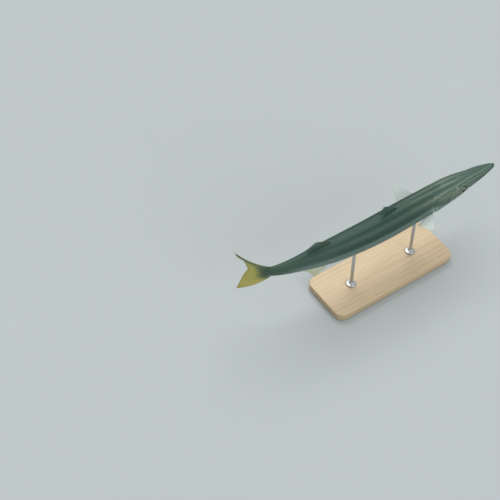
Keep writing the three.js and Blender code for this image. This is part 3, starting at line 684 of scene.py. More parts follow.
def silvered(colour, place, degrees, wire):
    """The silvery flank and white belly, lower down on the snout and higher up behind the head, with the
    dark side line and a painted shade at the root of the breast fin. Gives the colour and how silvery it is."""
    low = degrees + 18 * (1 - place.rises(0.15, 0.24)) + 17 * (1 - place.rises(0.26, 0.345))
    colour = low.rises(13, 1).larger(low.rises(46, 0) * place.rises(0.68, 0.88) * 0.4).mix(colour, FLANK)
    flank_line = degrees.band(-3.5, 1.6, 2.2) * place.between(0.33, 0.38, 0.74, 0.84)
    # Painted shade: a dark patch at the root of the breast fin, behind the gill cover, stands for the shade
    # in that crease.
    armpit_painted_shade = place.band(0.349, 0.011, 0.012) * degrees.band(-20, 13, 10)
    colour = (flank_line.larger(armpit_painted_shade) * 0.6).mix(colour, SIDE_LINE_AND_SHADE_DARK)
    silver = low.rises(-16, -46)
    colour = silver.mix(colour, wire.noise(55, 2, 0.5).rises(0.35, 0.65).mix(PEARL, PEARL_GREY))
    colour = low.rises(-38, -66).mix(colour, BELLY)
    gape = place.band(0.062, 0.062, 0.03) * degrees.band(-3, 16, 14)
    return (gape * 0.5).mix(colour, HEAD_DARK), silver


def body_colours(wire):
    """The colour that skin and scales share, and how silvery it is."""
    place = wire.number("place")
    cloud = wire.noise(34, 3, 0.55) - 0.5
    fine = wire.noise(240, 3, 0.6) - 0.5
    degrees = wire.number("turn") * 90 + cloud * 5 + fine * 2.2
    wavy = degrees + (place * 190 + cloud * 9).sine() * 1.7
    unrolled = wire.node("CombineXYZ", None, {"X": place * 14, "Y": wavy * 0.36, "Z": cloud})
    streaks = wire.noise_over(unrolled, 1.0, 3.0, 0.6)

    front = 1 - place.rises(0.36, 0.47)
    dark, pale = front.mix(BODY_DARK, HEAD_DARK), front.mix(BODY_PALE, HEAD_PALE)
    pale_bands, dark_bands = back_bands(place, degrees, wavy)
    colour = pale_bands.mix(front.mix(BODY_MIDDLE, HEAD_MIDDLE), pale)
    colour = dark_bands.mix(colour, dark)
    colour = (streaks.rises(0.5, 0.75) * 0.3).mix(colour, pale)
    colour = (streaks.rises(0.5, 0.25) * 0.35).mix(colour, dark)
    colour = head_marked(colour, place, degrees, cloud)
    colour, silver = silvered(colour, place, degrees, wire)

    # The stem of the tail turns olive where it passes into the fin.
    stem = place.rises(0.86, 1.0)
    under = degrees.rises(-10, -50) * (1 - place.rises(0.99, 1.012))
    colour = (stem * (1 - under * 0.6) * 0.9).mix(colour, STEM_OLIVE)
    freckles = (fine + cloud * 0.3).rises(0.13, 0.22) * (1 - silver) * 0.3
    colour = freckles.mix(colour, BODY_DARK)
    shade = abs(wire.number("lot") - 0.5) * 0.3 * (1 - silver * 0.6)
    return shade.mix(colour, BODY_DARK), silver * (1 - stem)


skin_finish, sockets, wire = finish_named("wet fish skin", Specular_IOR_Level=0.2)
colour, silver = body_colours(wire)
colour.to(sockets["Base Color"])
(silver * 0.2).to(sockets["Metallic"])
(0.36 + (wire.noise(140, 2) - 0.5) * 0.16 - silver * 0.06).to(sockets["Roughness"])
pores = wire.noise(800, 2, 0.5) * 0.5 + wire.noise(2400, 2, 0.6) * 0.5
pores.bumped(0.35, 0.12 * mm).to(sockets["Normal"])
HEAD_PARTS = ("head", "lower_jaw", "gill_cover_left", "gill_cover_right")
mount(skin, skin_finish, "skin", *HEAD_PARTS, "trunk_front", "trunk_rear", "tail_peduncle")


# The scales
# Small thin round-edged scales that lap backwards like tiles, each a horny plate rooted in the skin. They
# stand in rings, every second ring moved by half a scale, and get smaller towards the tail. Finer ones lie
# on the gill covers.
SCALE_ROWS = 46
SCALE_PITCH = 2.9 * mm
FULL_GIRTH = 137 * mm
SCALE_EDGE = 0.05 * mm
SCALE_THICKNESS = 0.13 * mm
ROOT_SINK = 0.12 * mm
across = np.linspace(-1, 1, 9)
lengthwise = np.array([0.0, 0.42, 0.78, 1.0])
lottery = np.random.default_rng(12)


def arc_angles(at, share):
    """Angles at shares of the way up one flank, from the belly (0) to the back (1), and the whole girth."""
    angles = np.linspace(-math.pi / 2, math.pi / 2, 91)
    back, belly, flank, upper, lower = (value[..., None] for value in section(at))
    power = np.where(angles >= 0, upper, lower)
    left = flank * abs(np.cos(angles)) ** (2 / power)
    height = np.where(angles >= 0, back, belly) * np.sign(angles) * abs(np.sin(angles)) ** (2 / power)
    steps = np.hypot(np.diff(left, axis=-1), np.diff(height, axis=-1))
    travelled = np.concatenate([np.zeros((len(at), 1)), np.cumsum(steps, axis=-1)], axis=-1)
    girth = 2 * travelled[:, -1]
    travelled /= travelled[:, -1:]
    return np.stack([np.interp(row, line, angles) for row, line in zip(share, travelled)]), girth


def one_side(share_round):
    """A share of the way up one flank, from a share of the way round, belly to left to back to right."""
    share_round = share_round % 1.0
    return np.where(share_round < 0.5, share_round * 2, 2 - share_round * 2)


def scale_group(name, at, share_round, length, half_width, shown=1.0, inset=SCALED_INSET, edge=SCALE_EDGE):
    """A piece of scales rooted at places along the fish and shares of the way round it. The half width is a
    share of the way round too. Each scale is a curved plate with a rim, sunk to the inset at its root. shown
    is how clearly its edge and its own shade are seen."""
    count = len(at)
    rear = np.sqrt(np.maximum(1 - (across * 0.93) ** 2, 0))
    reach = lengthwise[None, :] * (0.35 + 0.65 * rear[:, None]) * 1.9 - 0.75
    reach = np.concatenate([reach, reach[:, -1:]], axis=1)
    places = at[:, None, None] + reach * length[:, None, None] / STANDARD_LENGTH
    shares = share_round[:, None, None] + across[None, :, None] * half_width[:, None, None] + 0 * reach
    depth = mixed(inset + ROOT_SINK, edge, lengthwise**1.4)
    depth = np.append(depth, edge + SCALE_THICKNESS) + 0.055 * length[:, None, None] * (across**4)[:, None]
    depth = depth + lottery.uniform(0, 0.02, (count, 1, 1)) * length[:, None, None]
    depth = depth + (1 - np.broadcast_to(shown, count))[:, None, None] * ROOT_SINK
    places, side_share = places.reshape(count, -1), one_side(shares).reshape(count, -1)
    angle, _ = arc_angles(places.mean(axis=1), side_share)
    around_angle = np.where(shares.reshape(count, -1) % 1.0 < 0.5, angle, math.pi - angle)
    out = worked(places, angle) - depth.reshape(count, -1)
    points = surface(places, around_angle, out)

    # Its faces: the top, the underside in one strip from the rear rim to the root, and the two sides.
    rows, columns = len(across), len(lengthwise) + 1
    start = np.arange(rows - 1) * columns
    under = np.stack([start + 2 * columns - 1, start + columns - 1, start, start + columns], axis=1)
    sides = []
    for row in (0, rows - 1):
        corners = np.arange(columns) + row * columns
        fan = np.stack([np.full(columns - 2, corners[0]), corners[2:], corners[1:-1]], axis=1)
        sides.append(fan[:, ::-1] if row else fan)
    offsets = (np.arange(count) * rows * columns)[:, None, None]
    quads = (np.concatenate([grid_faces(rows, columns), under]) + offsets).reshape(-1, 4)
    triangles = (np.concatenate(sides) + offsets).reshape(-1, 3)

    local = np.stack(np.meshgrid(across, np.append(lengthwise, 1.06), indexing="ij"), axis=-1).reshape(-1, 2)
    patch = 0.003 * (local[:, ::-1] * [0.9, 0.45] - [0.45, 0])
    spots = (unwrapped(at, share_round % 1.0)[:, None, :] + patch[None]).reshape(-1, 2)
    piece = mesh_piece(
        name,
        points,
        [quads, triangles],
        spots[np.concatenate([quads.ravel(), triangles.ravel()])],
        place=places.ravel(),
        turn=angle.ravel() / (math.pi / 2),
        rim=np.tile(np.append(lengthwise, 1.0), count * rows),
        lot=np.repeat(0.5 + lottery.uniform(-0.5, 0.5, count) * shown, rows * columns),
        shown=np.repeat(np.broadcast_to(shown, count), rows * columns),
    )
    mount(piece, scale_finish, "skin")


scale_finish, sockets, wire = finish_named("small silvery scales", Specular_IOR_Level=0.2)
colour, silver = body_colours(wire)
rim = wire.number("rim")
margin = rim.rises(0.8, 1.0) * wire.number("shown")
(margin * (0.4 - silver * 0.22)).mix(colour, BODY_DARK).to(sockets["Base Color"])
(silver * 0.3).to(sockets["Metallic"])
(0.38 + (wire.noise(220, 2) - 0.5) * 0.18 - silver * 0.1).to(sockets["Roughness"])
growth = (rim * 70).sine() * 0.5 + wire.noise(1800, 2) * 0.5
growth.bumped(0.3, 0.05 * mm).to(sockets["Normal"])


# The rings' places: the rings stand closer together where the body is thinner.
def pitch_at(girth):
    return SCALE_PITCH * (girth / FULL_GIRTH) ** 0.7


ring_at = [0.262]
while ring_at[-1] < 1.009:
    girth = arc_angles(np.array(ring_at[-1:]), np.array([[0.5]]))[1][0]
    ring_at.append(ring_at[-1] + 0.5 * pitch_at(girth) / STANDARD_LENGTH)
ring_at = np.array(ring_at)
girths = arc_angles(ring_at, np.full((len(ring_at), 1), 0.5))[1]
ring_number, row_number = np.meshgrid(np.arange(len(ring_at)), np.arange(SCALE_ROWS), indexing="ij")
root_share = (row_number + 0.5 * (ring_number % 2)) / SCALE_ROWS
root_angle = arc_angles(ring_at, one_side(root_share))[0].ravel()
root_share = root_share.ravel()
root_at = ring_at[ring_number].ravel() + lottery.normal(0, 0.05, root_share.size) * mm / STANDARD_LENGTH
root_length = pitch_at(girths)[ring_number].ravel()
behind_start = behind_head(root_at, root_angle)
root_shown = smooth(behind_start, 0, 0.05) * (1 - 0.6 * smooth(root_at, 0.965, 1.0))
SCALE_GROUPS = (
    ("scales_shoulder", 0.0, 0.45),
    ("scales_middle", 0.45, 0.59),
    ("scales_hip", 0.59, 0.73),
    ("scales_rear", 0.73, 0.86),
    ("scales_stem", 0.86, 0.955),
    ("scales_tail_root", 0.955, 2.0),
)
for name, low, high in SCALE_GROUPS:
    chosen = (behind_start > 0) & (root_at >= low) & (root_at < high)
    half_width = np.full(chosen.sum(), 0.66 / SCALE_ROWS)
    shown = root_shown[chosen]
    scale_group(name, root_at[chosen], root_share[chosen], root_length[chosen], half_width, shown)

# The finer scales of the gill covers stand closer and fade out at their borders. Measures in millimetres.
FINE_PITCH = 1.7
FINE_START = (84, -16)
FINE_HEIGHTS = (-14, 10.5)
CHEEK_MARGIN = 3.4
GILL_MARGIN = 4.4
for side_name, flip in (("left", False), ("right", True)):
    column, row = np.meshgrid(np.arange(60), np.arange(22), indexing="ij")
    along = FINE_START[0] + column * FINE_PITCH * 0.5 + lottery.normal(0, 0.05, column.shape)
    height = FINE_START[1] + (row + 0.5 * (column % 2)) * FINE_PITCH * 0.86
    height = height + lottery.normal(0, 0.04, column.shape)
    behind_cheek = along - cheek_edge(height) - CHEEK_MARGIN
    before_gill = gill_edge(height)[0] - GILL_MARGIN - along
    above, below = height - FINE_HEIGHTS[0], FINE_HEIGHTS[1] - height
    inside = np.min([behind_cheek, before_gill, above, below], axis=0)
    chosen = inside > 0
    at = along[chosen] * mm / STANDARD_LENGTH
    angle = angle_at_height(at, height[chosen] * mm)
    shares = np.linspace(0, 1, 181)
    share_angles, girth = arc_angles(at, np.repeat(shares[None], len(at), axis=0))
    share = np.array([np.interp(a, line, shares) for a, line in zip(angle, share_angles)]) / 2
    share = 1 - share if flip else share
    length, half_width = np.full(len(at), FINE_PITCH * mm), FINE_PITCH * 0.56 * mm / girth
    shown = 0.8 * smooth(inside[chosen], -1, 3.5)
    scale_group("fine_scales_" + side_name, at, share, length, half_width, shown, 0.06 * mm, -0.08 * mm)


# The side line
# A fish feels the water along a row of pierced scales on each flank, each with a little raised tube.
# The tubes start over the gill opening and run straight back to the tail fin.
TUBE_WIDTH = 0.3 * mm
TUBE_SINK = 0.14 * mm
tube_at = ring_at[1::2][(ring_at[1::2] > 0.338) & (ring_at[1::2] < 1.0)]
tube_turns = np.linspace(0, 2 * math.pi, 10, endpoint=False)
tube_ends = np.array([0.0, 0.08, 0.3, 0.7, 0.92, 1.0])
tube_swell = np.array([0.35, 0.75, 1.0, 1.0, 0.8, 0.4])
tube_count, tube_points = len(tube_at), len(tube_ends) * len(tube_turns)
tube_pitch = pitch_at(np.interp(tube_at, ring_at, girths))[:, None, None]
tube_rise = np.radians(24) * np.clip((0.40 - tube_at) / 0.075, 0, 1) ** 1.6
width = TUBE_WIDTH * (tube_pitch / SCALE_PITCH) * tube_swell[None, :, None]
angle = tube_rise[:, None, None] + width * np.cos(tube_turns) / section(tube_at)[2][:, None, None]
places = tube_at[:, None, None] + (0.1 + 0.62 * tube_ends[None, :, None]) * tube_pitch / STANDARD_LENGTH
places = np.broadcast_to(places, angle.shape)
out = 0.55 * width * np.sin(tube_turns) - TUBE_SINK


def with_ends(values):
    """A number for each point of the tubes' rings, and each tube's mean for the middles of its two ends."""
    values = values.reshape(tube_count, tube_points)
    return np.concatenate([values, np.repeat(values.mean(axis=1)[:, None], 2, axis=1)], axis=1).ravel()


tube_spots = unwrapped(with_ends(places), with_ends(angle) / math.pi * 0.5 + 0.25)
tube_offsets = (np.arange(tube_count) * (tube_points + 2))[:, None, None]
tube_faces = capped_faces(len(tube_ends), len(tube_turns))
for side_name, flip in (("left", False), ("right", True)):
    points = surface(places, math.pi - angle if flip else angle, out)
    ends = points.mean(axis=2)[:, [0, -1]]
    faces = [(face + tube_offsets).reshape(-1, face.shape[1]) for face in tube_faces]
    faces = [face[:, ::-1] if flip else face for face in faces]
    tubes = mesh_piece(
        "side_line_" + side_name,
        np.concatenate([points.reshape(tube_count, tube_points, 3), ends], axis=1),
        faces,
        tube_spots[np.concatenate([face.ravel() for face in faces])],
        place=with_ends(places),
        turn=with_ends(angle) / (math.pi / 2),
        rim=0.3,
        lot=0.5,
        shown=0.0,
    )
    mount(tubes, scale_finish, "skin")


# The eyes
# A large round eye with a black pupil in a silvery golden iris, under one clear wet cornea.
# Each is one turned form, its rings round the line of sight, and is set deep in its socket.
EYE_DEPTH = 5 * mm
EYE_BULGE = 0.9 * mm
CORNEA_RISE = 0.45 * mm
CORNEA_HALF_ANGLE = math.radians(38)
IRIS_OLIVE = (0.27, 0.25, 0.17, 1)
IRIS_GREY = (0.18, 0.21, 0.18, 1)
IRIS_SPOKE = (0.09, 0.09, 0.06, 1)
IRIS_DUSK = (0.042, 0.084, 0.074, 1)
IRIS_GOLD = (0.68, 0.65, 0.42, 1)
PUPIL_BLACK = (0.003, 0.004, 0.005, 1)
EYE_RIM = (0.02, 0.035, 0.035, 1)


def eye_piece(name, side):
    centre = flank_point(EYE_AT, EYE_HEIGHT, side, EYE_BULGE - EYE_DEPTH)
    heading = float(heading_at(EYE_AT))
    forward = np.array([math.cos(heading), math.sin(heading), 0])
    outward = np.array([-math.sin(heading), math.cos(heading), 0]) * side
    polar = np.linspace(0, math.pi, 73)[1:-1, None]
    spin = np.linspace(0, 2 * math.pi, 96, endpoint=False)[None, :] * side
    ahead, up = np.sin(polar) * np.cos(spin), np.sin(polar) * np.sin(spin)
    depth = EYE_DEPTH * np.cos(polar) + CORNEA_RISE * np.exp(-((polar / CORNEA_HALF_ANGLE) ** 4)) + 0 * spin
    points = centre + EYE_RADIUS * (ahead[..., None] * forward + up[..., None] * np.array([0, 0, 1]))
    points = points + depth[..., None] * outward
    poles = [centre + (EYE_DEPTH + CORNEA_RISE) * outward, centre - EYE_DEPTH * outward]
    return mesh_piece(
        name,
        np.concatenate([points.reshape(-1, 3), poles]),
        capped_faces(*ahead.shape),
        ahead=np.append(ahead, [0, 0]),
        upward=np.append(up, [0, 0]),
    )


eye_finish, sockets, wire = finish_named(
    "wet eye", Specular_IOR_Level=0.15, Coat_Weight=0.5, Coat_Roughness=0.04, Coat_IOR=1.38
)
ahead, upward = wire.number("ahead"), wire.number("upward")
radius = (ahead * ahead + upward * upward * 1.1) ** 0.5
opening = radius - ahead.larger(0) * ahead.larger(0) * 0.22 - 0.03
pupil = 1 - opening.rises(0.415, 0.44)
from_middle = {"X": ahead / (radius + 0.001), "Y": upward / (radius + 0.001), "Z": radius * 0.9}
spokes = wire.noise_over(wire.node("CombineXYZ", None, from_middle), 9.0, 4.0, 0.7)
colour = wire.noise(260, 3, 0.6).rises(0.35, 0.65).mix(IRIS_OLIVE, IRIS_GREY)
colour = (spokes.rises(0.42, 0.62) * 0.55).mix(colour, IRIS_SPOKE)
lids = (upward.rises(0.05, 0.45) * 0.92).larger(upward.rises(-0.55, -0.95) * 0.6)
dusk = lids.larger(opening.rises(0.56, 0.86) * 0.85)
colour = (dusk + (spokes - 0.5) * 0.25).mix(colour, IRIS_DUSK)
# A thin gold ring round the pupil, the iris's own colour, made brighter towards the upper rear as a painted
# highlight.
gold_ring_and_glint = opening.band(0.485, 0.035, 0.03) * (0.4 + (upward - ahead).rises(-0.6, 0.5) * 0.55)
colour = gold_ring_and_glint.mix(colour, IRIS_GOLD)
colour = pupil.mix(colour, PUPIL_BLACK)
radius.rises(0.93, 0.99).mix(colour, EYE_RIM).to(sockets["Base Color"])
((1 - pupil) * (1 - dusk).larger(gold_ring_and_glint) * 0.5).to(sockets["Metallic"])
(0.30 - pupil * 0.2).to(sockets["Roughness"])
spokes.bumped(0.2, 0.1 * mm).to(sockets["Normal"])
mount(eye_piece("left_eye", 1), eye_finish, "eye", "eye_left")
mount(eye_piece("right_eye", -1), eye_finish, "eye", "eye_right")


# The first back fin
# Five stiff pointed spines with dusky skin stretched between them, low and leaning back.
# Like every fin it is a closed sheet whose rays stand out on both faces.
FIN_ROOT_SINK = 2 * mm
FIN_COLUMNS = 12
FIN_ROWS = 42
SOFT_RAY_WIDTHS = (0.16, 0.065)
SPINY_RAY_WIDTHS = (0.15, 0.08)
FIN_SKIN_HALF = (0.17, 0.06)
FIN_RAY_HALF = (0.34, 0.07)
SPINY_SKIN = (0.052, 0.110, 0.092, 1)
SPINY_RAY = (0.026, 0.072, 0.064, 1)


def fin_piece(name, shape, rays, scallop, branching=True, root_half=None, wave=0.0):
    """shape gives the root, bend and tip of the ray at each share u of the way across the fin. Widths are
    shares of the space between two rays, from root to tip, and half thicknesses are in millimetres."""
    u = np.linspace(0, 1, (rays - 1) * FIN_COLUMNS + 1)
    t = np.linspace(0, 1, FIN_ROWS + 1)[None, :]
    from_ray = (u * (rays - 1) - np.round(u * (rays - 1)))[:, None]
    root, bend, tip = shape(u)
    hollow = np.sin(math.pi * abs(from_ray)) ** 0.8
    frayed = lottery.uniform(-0.006, 0.006, hollow.shape) * (hollow > 0.1)
    tip = tip + (root - tip) * (scallop * hollow + frayed)
    line = (1 - t[..., None]) ** 2 * root[:, None] + 2 * (t * (1 - t))[..., None] * bend[:, None]
    line = line + t[..., None] ** 2 * tip[:, None]
    normal = np.cross(np.gradient(line, axis=0), np.gradient(line, axis=1))
    normal /= np.linalg.norm(normal, axis=-1, keepdims=True)
    if branching:
        first, second = 0.25 * smooth(t, 0.34, 1.0), 0.125 * smooth(t, 0.66, 1.02)
        nearest = np.min([abs(from_ray - a * first - b * second) for a in (-1, 1) for b in (-1, 1)], axis=0)
        width = mixed(*SOFT_RAY_WIDTHS, smooth(t, 0.05, 0.55))
    else:
        nearest = abs(from_ray + 0 * t)
        width = mixed(*SPINY_RAY_WIDTHS, t)
    crest = ridge(nearest, width)
    ray_half = mixed(*FIN_RAY_HALF, t**1.1) * smooth(t, -0.15, 0.2) * crest
    half = (mixed(*FIN_SKIN_HALF, t) + ray_half) * mm
    if root_half is not None:
        half = half + np.maximum(root_half(u) - 0.5 * mm, 0)[:, None] * (1 - t) ** 5
    sag = wave * mm * np.sin(2 * math.pi * abs(from_ray)) * t
    sheets = [line + normal * (sag + half)[..., None], line + normal * (sag - half)[..., None]]

    rows, columns = crest.shape
    near = grid_faces(rows, columns)
    rim = [np.arange(rows) * columns, (rows - 1) * columns + np.arange(1, columns)]
    rim += [np.arange(rows - 2, -1, -1) * columns + columns - 1, np.arange(columns - 2, 0, -1)]
    rim = np.concatenate(rim)
    after = np.roll(rim, -1)
    edge = np.stack([after, rim, rim + rows * columns, after + rows * columns], axis=1)

    def twice(values):
        return np.tile((values + 0 * crest).ravel(), 2)

    return mesh_piece(
        name,
        np.stack(sheets),
        [near[:, ::-1], near + rows * columns, edge],
        ray=twice(crest),
        out=twice(t),
        fan=twice(u[:, None]),
    )


def midline_shape(side, start, end, lean, height, curve, arch):
    """A fin on the middle of the back (side 1) or belly (side -1). lean and height, in millimetres, are for
    its first and last ray, and arch is where its rays bend: the share of the way back and up."""

    def edge(at):
        return section(at)[0 if side > 0 else 1]

    def shape(u):
        root_at = mixed(start, end, u)
        tip_at = root_at + mixed(lean[0], lean[1], u) * mm / STANDARD_LENGTH
        tip_height = edge(tip_at) + mixed(height[0], height[1], 1 - (1 - u) ** curve) * mm
        bend_height = mixed(edge(root_at), tip_height, arch[1])
        root = point(root_at, 0, side * (edge(root_at) - FIN_ROOT_SINK))
        bend = point(mixed(root_at, tip_at, arch[0]), 0, side * bend_height)
        return root, bend, point(tip_at, 0, side * tip_height)

    return shape


def fin_finish(
    name, skin_colour, ray_colour, clear, dense, root_colour, fleshy=0.12, dark=None, dark_colour=BODY_DARK
):
    """A fin's material. clear is the alpha of the skin between the rays and dense that of the rays. The root
    is fleshy over a share of the fin's height. dark makes a mask for the dusky places of the fin's wires."""
    material, sockets, wire = finish_named(name, Specular_IOR_Level=0.4, Coat_Weight=0.1, Coat_Roughness=0.2)
    ray, out, fan = wire.number("ray"), wire.number("out"), wire.number("fan")
    mottle = wire.noise(170, 3, 0.6) - 0.5
    colour = (ray * 0.85 + mottle * 0.35).mix(skin_colour, ray_colour)
    joints = (out * 150 + mottle * 2).sine().rises(0.55, 0.95) * ray * out.rises(0.16, 0.3)
    colour = (joints * 0.3).mix(colour, tuple(0.6 * part for part in ray_colour[:3]) + (1,))
    solid = ray * 0.9
    if dark:
        dusky = dark(wire, out, fan)
        colour = dusky.mix(colour, dark_colour)
        solid = solid.larger(dusky * 0.9)
    root = 1 - (out + mottle * 0.12).rises(fleshy * 0.3, fleshy * 1.7)
    colour = (root * 0.8).mix(colour, root_colour)
    solid = solid.larger(root)
    colour.to(sockets["Base Color"])
    (clear + (dense - clear) * solid + mottle * 0.08).to(sockets["Alpha"])
    (0.38 + mottle * 0.14).to(sockets["Roughness"])
    relief = wire.noise(1500, 2) * 0.4 - joints * 0.6
    relief.bumped(0.3, 0.06 * mm).to(sockets["Normal"])
    return material


def spine_tips(wire, out, fan):
    return out.rises(0.6, 1.0) * 0.4


first_finish = fin_finish(
    "dusky spiny fin",
    SPINY_SKIN,
    SPINY_RAY,
    clear=0.7,
    dense=1.0,
    root_colour=BODY_DARK,
    fleshy=0.1,
    dark=spine_tips,
)
first_shape = midline_shape(1, 0.475, 0.53, (31, 13), (20, 5), 0.8, (0.4, 0.52))
first_fin = fin_piece("first_back_fin", first_shape, rays=5, scallop=0.16, branching=False, wave=0.25)
mount(first_fin, first_finish, "spiny_fin", "dorsal_fin_first")


# The second back fin, the vent fin and the belly fins
# Thin skin over soft rays that split towards the rim: olive with a brown leading edge on the back,
# pale and half clear underneath.
OLIVE_SKIN = (0.048, 0.100, 0.076, 1)
OLIVE_RAY = (0.066, 0.105, 0.068, 1)
BROWN_EDGE = (0.085, 0.095, 0.045, 1)
PALE_SKIN = (0.46, 0.52, 0.36, 1)
PALE_RAY = (0.55, 0.52, 0.28, 1)


def front_rays(wire, out, fan):
    return (1 - fan.rises(0.0, 0.2)) * 0.5


back_finish = fin_finish(
    "olive soft fin",
    OLIVE_SKIN,
    OLIVE_RAY,
    clear=0.55,
    dense=0.9,
    root_colour=BODY_MIDDLE,
    fleshy=0.14,
    dark=front_rays,
    dark_colour=BROWN_EDGE,
)
pale_finish = fin_finish(
    "pale soft fin", PALE_SKIN, PALE_RAY, clear=0.42, dense=0.88, root_colour=FLANK
)
back_shape = midline_shape(1, 0.758, 0.845, (28, 12), (15.5, 7), 1.6, (0.36, 0.56))
back_fin = fin_piece("second_back_fin", back_shape, rays=10, scallop=0.02)
mount(back_fin, back_finish, "soft_fin", "dorsal_fin_second")
vent_shape = midline_shape(-1, 0.757, 0.846, (26, 8), (27, 7.5), 1.9, (0.28, 0.66))
vent_fin = fin_piece("vent_fin", vent_shape, rays=10, scallop=0.02)
mount(vent_fin, pale_finish, "soft_fin", "anal_fin")


def belly_fin_shape(side):
    def shape(u):
        at = mixed(0.444, 0.453, u)
        left = mixed(7.6, 3.8, u) * mm
        _, belly, flank, _, _ = section(at)
        height = -belly * np.sqrt(1 - (left / flank) ** 2)
        tip_at = at + 27 * mm * (1 - 0.42 * u) / STANDARD_LENGTH
        tip_left = left + mixed(1.2, 0.2, u) * mm
        tip_height = height - mixed(3.4, 2.6, u) * mm
        root = point(at, side * left, height + FIN_ROOT_SINK)
        bend = point(mixed(at, tip_at, 0.35), side * mixed(left, tip_left, 0.5), tip_height - 0.2 * mm)
        return root, bend, point(tip_at, side * tip_left, tip_height)

    return shape


for side_name, side in (("left", 1), ("right", -1)):
    belly_fin = fin_piece("belly_fin_" + side_name, belly_fin_shape(side), rays=6, scallop=0.03)
    mount(belly_fin, pale_finish, "soft_fin", "pelvic_fin_" + side_name)


# The breast fins
# Nearly clear fans with fine whitish rays, one behind each gill cover. The fish rows with them: the left one
# is raised and the right one lies lower.
BREAST_FIN_LENGTH = 37 * mm
CLEAR_SKIN = (0.50, 0.58, 0.54, 1)
CLEAR_RAY = (0.66, 0.74, 0.68, 1)


def breast_fin_shape(side, raised):
    def shape(u):
        at = mixed(0.338, 0.354, u)
        height = mixed(-3, -10.5, u) * mm
        heading = heading_at(at)
        base = flank_point(at, height, side)

        def away(share, arch):
            spread = np.radians(mixed(49, 8, u)) * arch
            lift = np.radians(raised * (1 - 0.5 * u) - 4)
            reach = BREAST_FIN_LENGTH * (1 - 0.3 * u**1.3) * share
            back = -reach * np.cos(spread) * np.cos(lift)
            out = side * reach * np.sin(spread)
            x = back * np.cos(heading) - out * np.sin(heading)
            y = back * np.sin(heading) + out * np.cos(heading)
            return base + np.stack([x, y, reach * np.sin(lift)], axis=-1)

        return flank_point(at, height, side, -FIN_ROOT_SINK), away(0.5, 1.12), away(1.0, 1.0)

    return shape


def fleshy_root(u):
    return 1.3 * mm * np.sin(math.pi * u) ** 0.4


clear_finish = fin_finish(
    "clear breast fin", CLEAR_SKIN, CLEAR_RAY, clear=0.24, dense=0.72, root_colour=FLANK
)
for side_name, side, raised in (("left", 1, 26), ("right", -1, 6)):
    shape = breast_fin_shape(side, raised)
    breast_fin = fin_piece("breast_fin_" + side_name, shape, rays=12, scallop=0.02, root_half=fleshy_root)
    mount(breast_fin, clear_finish, "clear_fin", "pectoral_fin_" + side_name)


# The tail fin
# Two yellow lobes in a fork, cupped and swept to the fish's left. The leading ray of each lies along the
# edge of the stem and the others leave its end, where the stem's dark olive runs out between them.
TAIL_TIP_HEIGHT = 38.5 * mm
TAIL_FORK = 23.5 * mm
LOBE_SINK = 1 * mm
LOBE_APART = 0.15 * mm
STEM_BACK, _, STEM_FLANK, _, _ = section(TAIL_ROOT)


def lobe_root(u):
    """The root of each ray of a lobe, behind the end of the stem and above its middle: the leading rays
    along the stem's edge up to a corner, and the others down its end."""
    first = (0.986 - TAIL_ROOT) * STANDARD_LENGTH
    top = STEM_BACK - 0.8 * mm
    behind = np.where(u < LOBE_CORNER, mixed(first, -LOBE_SINK, u / LOBE_CORNER), -LOBE_SINK)
    height = np.where(u < LOBE_CORNER, top, mixed(top, LOBE_APART, (u - LOBE_CORNER) / (1 - LOBE_CORNER)))
    return behind, height


def lobe_shape(side, reach, fullness):
    def spot(u, behind, height):
        sway = lobe_sway(behind / reach, smooth(u, 0, 0.6))
        return point(TAIL_ROOT + behind / STANDARD_LENGTH, sway, side * height)

    def shape(u):
        behind, height = lobe_root(u)
        t = u**1.15
        outer, between, inner = (1 - t) ** 2, 2 * t * (1 - t), t**2
        tip_behind = outer * reach + between * (TAIL_FORK + fullness) + inner * TAIL_FORK
        tip_height = outer * TAIL_TIP_HEIGHT + between * TAIL_TIP_HEIGHT * 0.4 + inner * LOBE_APART
        rise = np.where(u < 1, 0.48, 0)
        bend = spot(u, mixed(behind, tip_behind, 0.46), mixed(height, tip_height, rise))
        return spot(u, behind, height), bend, spot(u, tip_behind, tip_height)

    return shape


def lobe_root_half(u):
    return 0.95 * STEM_FLANK * np.sqrt(1 - (lobe_root(u)[1] / STEM_BACK) ** 2)


YELLOW_SKIN = (0.470, 0.425, 0.112, 1)
YELLOW_RAY = (0.365, 0.310, 0.072, 1)
TAIL_DUSK = (0.078, 0.114, 0.060, 1)
TAIL_ROOT_OLIVE = (0.060, 0.104, 0.066, 1)


def tail_dusk(wire, out, fan):
    """The stem's olive runs out over the rays, further on the upper lobe, whose edges are dusky too."""
    blotch = wire.noise(55, 3, 0.6) - 0.5
    upper = wire.distance("Z").rises(AXIS_HEIGHT - 4 * mm, AXIS_HEIGHT + 5 * mm)
    behind = out * (1 - fan * 0.43) + (1 - upper) * (0.04 + (1 - fan.rises(0.0, 0.6)) * 0.16)
    stem = 1 - (behind + blotch * 0.16 - upper * (1 - fan) * 0.1).rises(0.10, 0.48)
    leading = (1 - (fan + blotch * 0.12).rises(0.02, 0.5)) * upper * 0.85
    trailing = (out + blotch * 0.1).rises(0.92, 1.0) * 0.3
    return stem.larger(leading).larger(trailing)


tail_finish = fin_finish(
    "yellow tail fin",
    YELLOW_SKIN,
    YELLOW_RAY,
    clear=0.86,
    dense=1.0,
    root_colour=TAIL_ROOT_OLIVE,
    fleshy=0.10,
    dark=tail_dusk,
    dark_colour=TAIL_DUSK,
)
for name, side, reach, fullness in (("upper", 1, 41.5 * mm, 4 * mm), ("lower", -1, 39.5 * mm, 9 * mm)):
    shape = lobe_shape(side, reach, fullness)
    lobe = fin_piece("tail_lobe_" + name, shape, rays=9, scallop=0.015, root_half=lobe_root_half)
    mount(lobe, tail_finish, "tail_fin", "caudal_fin_" + name)


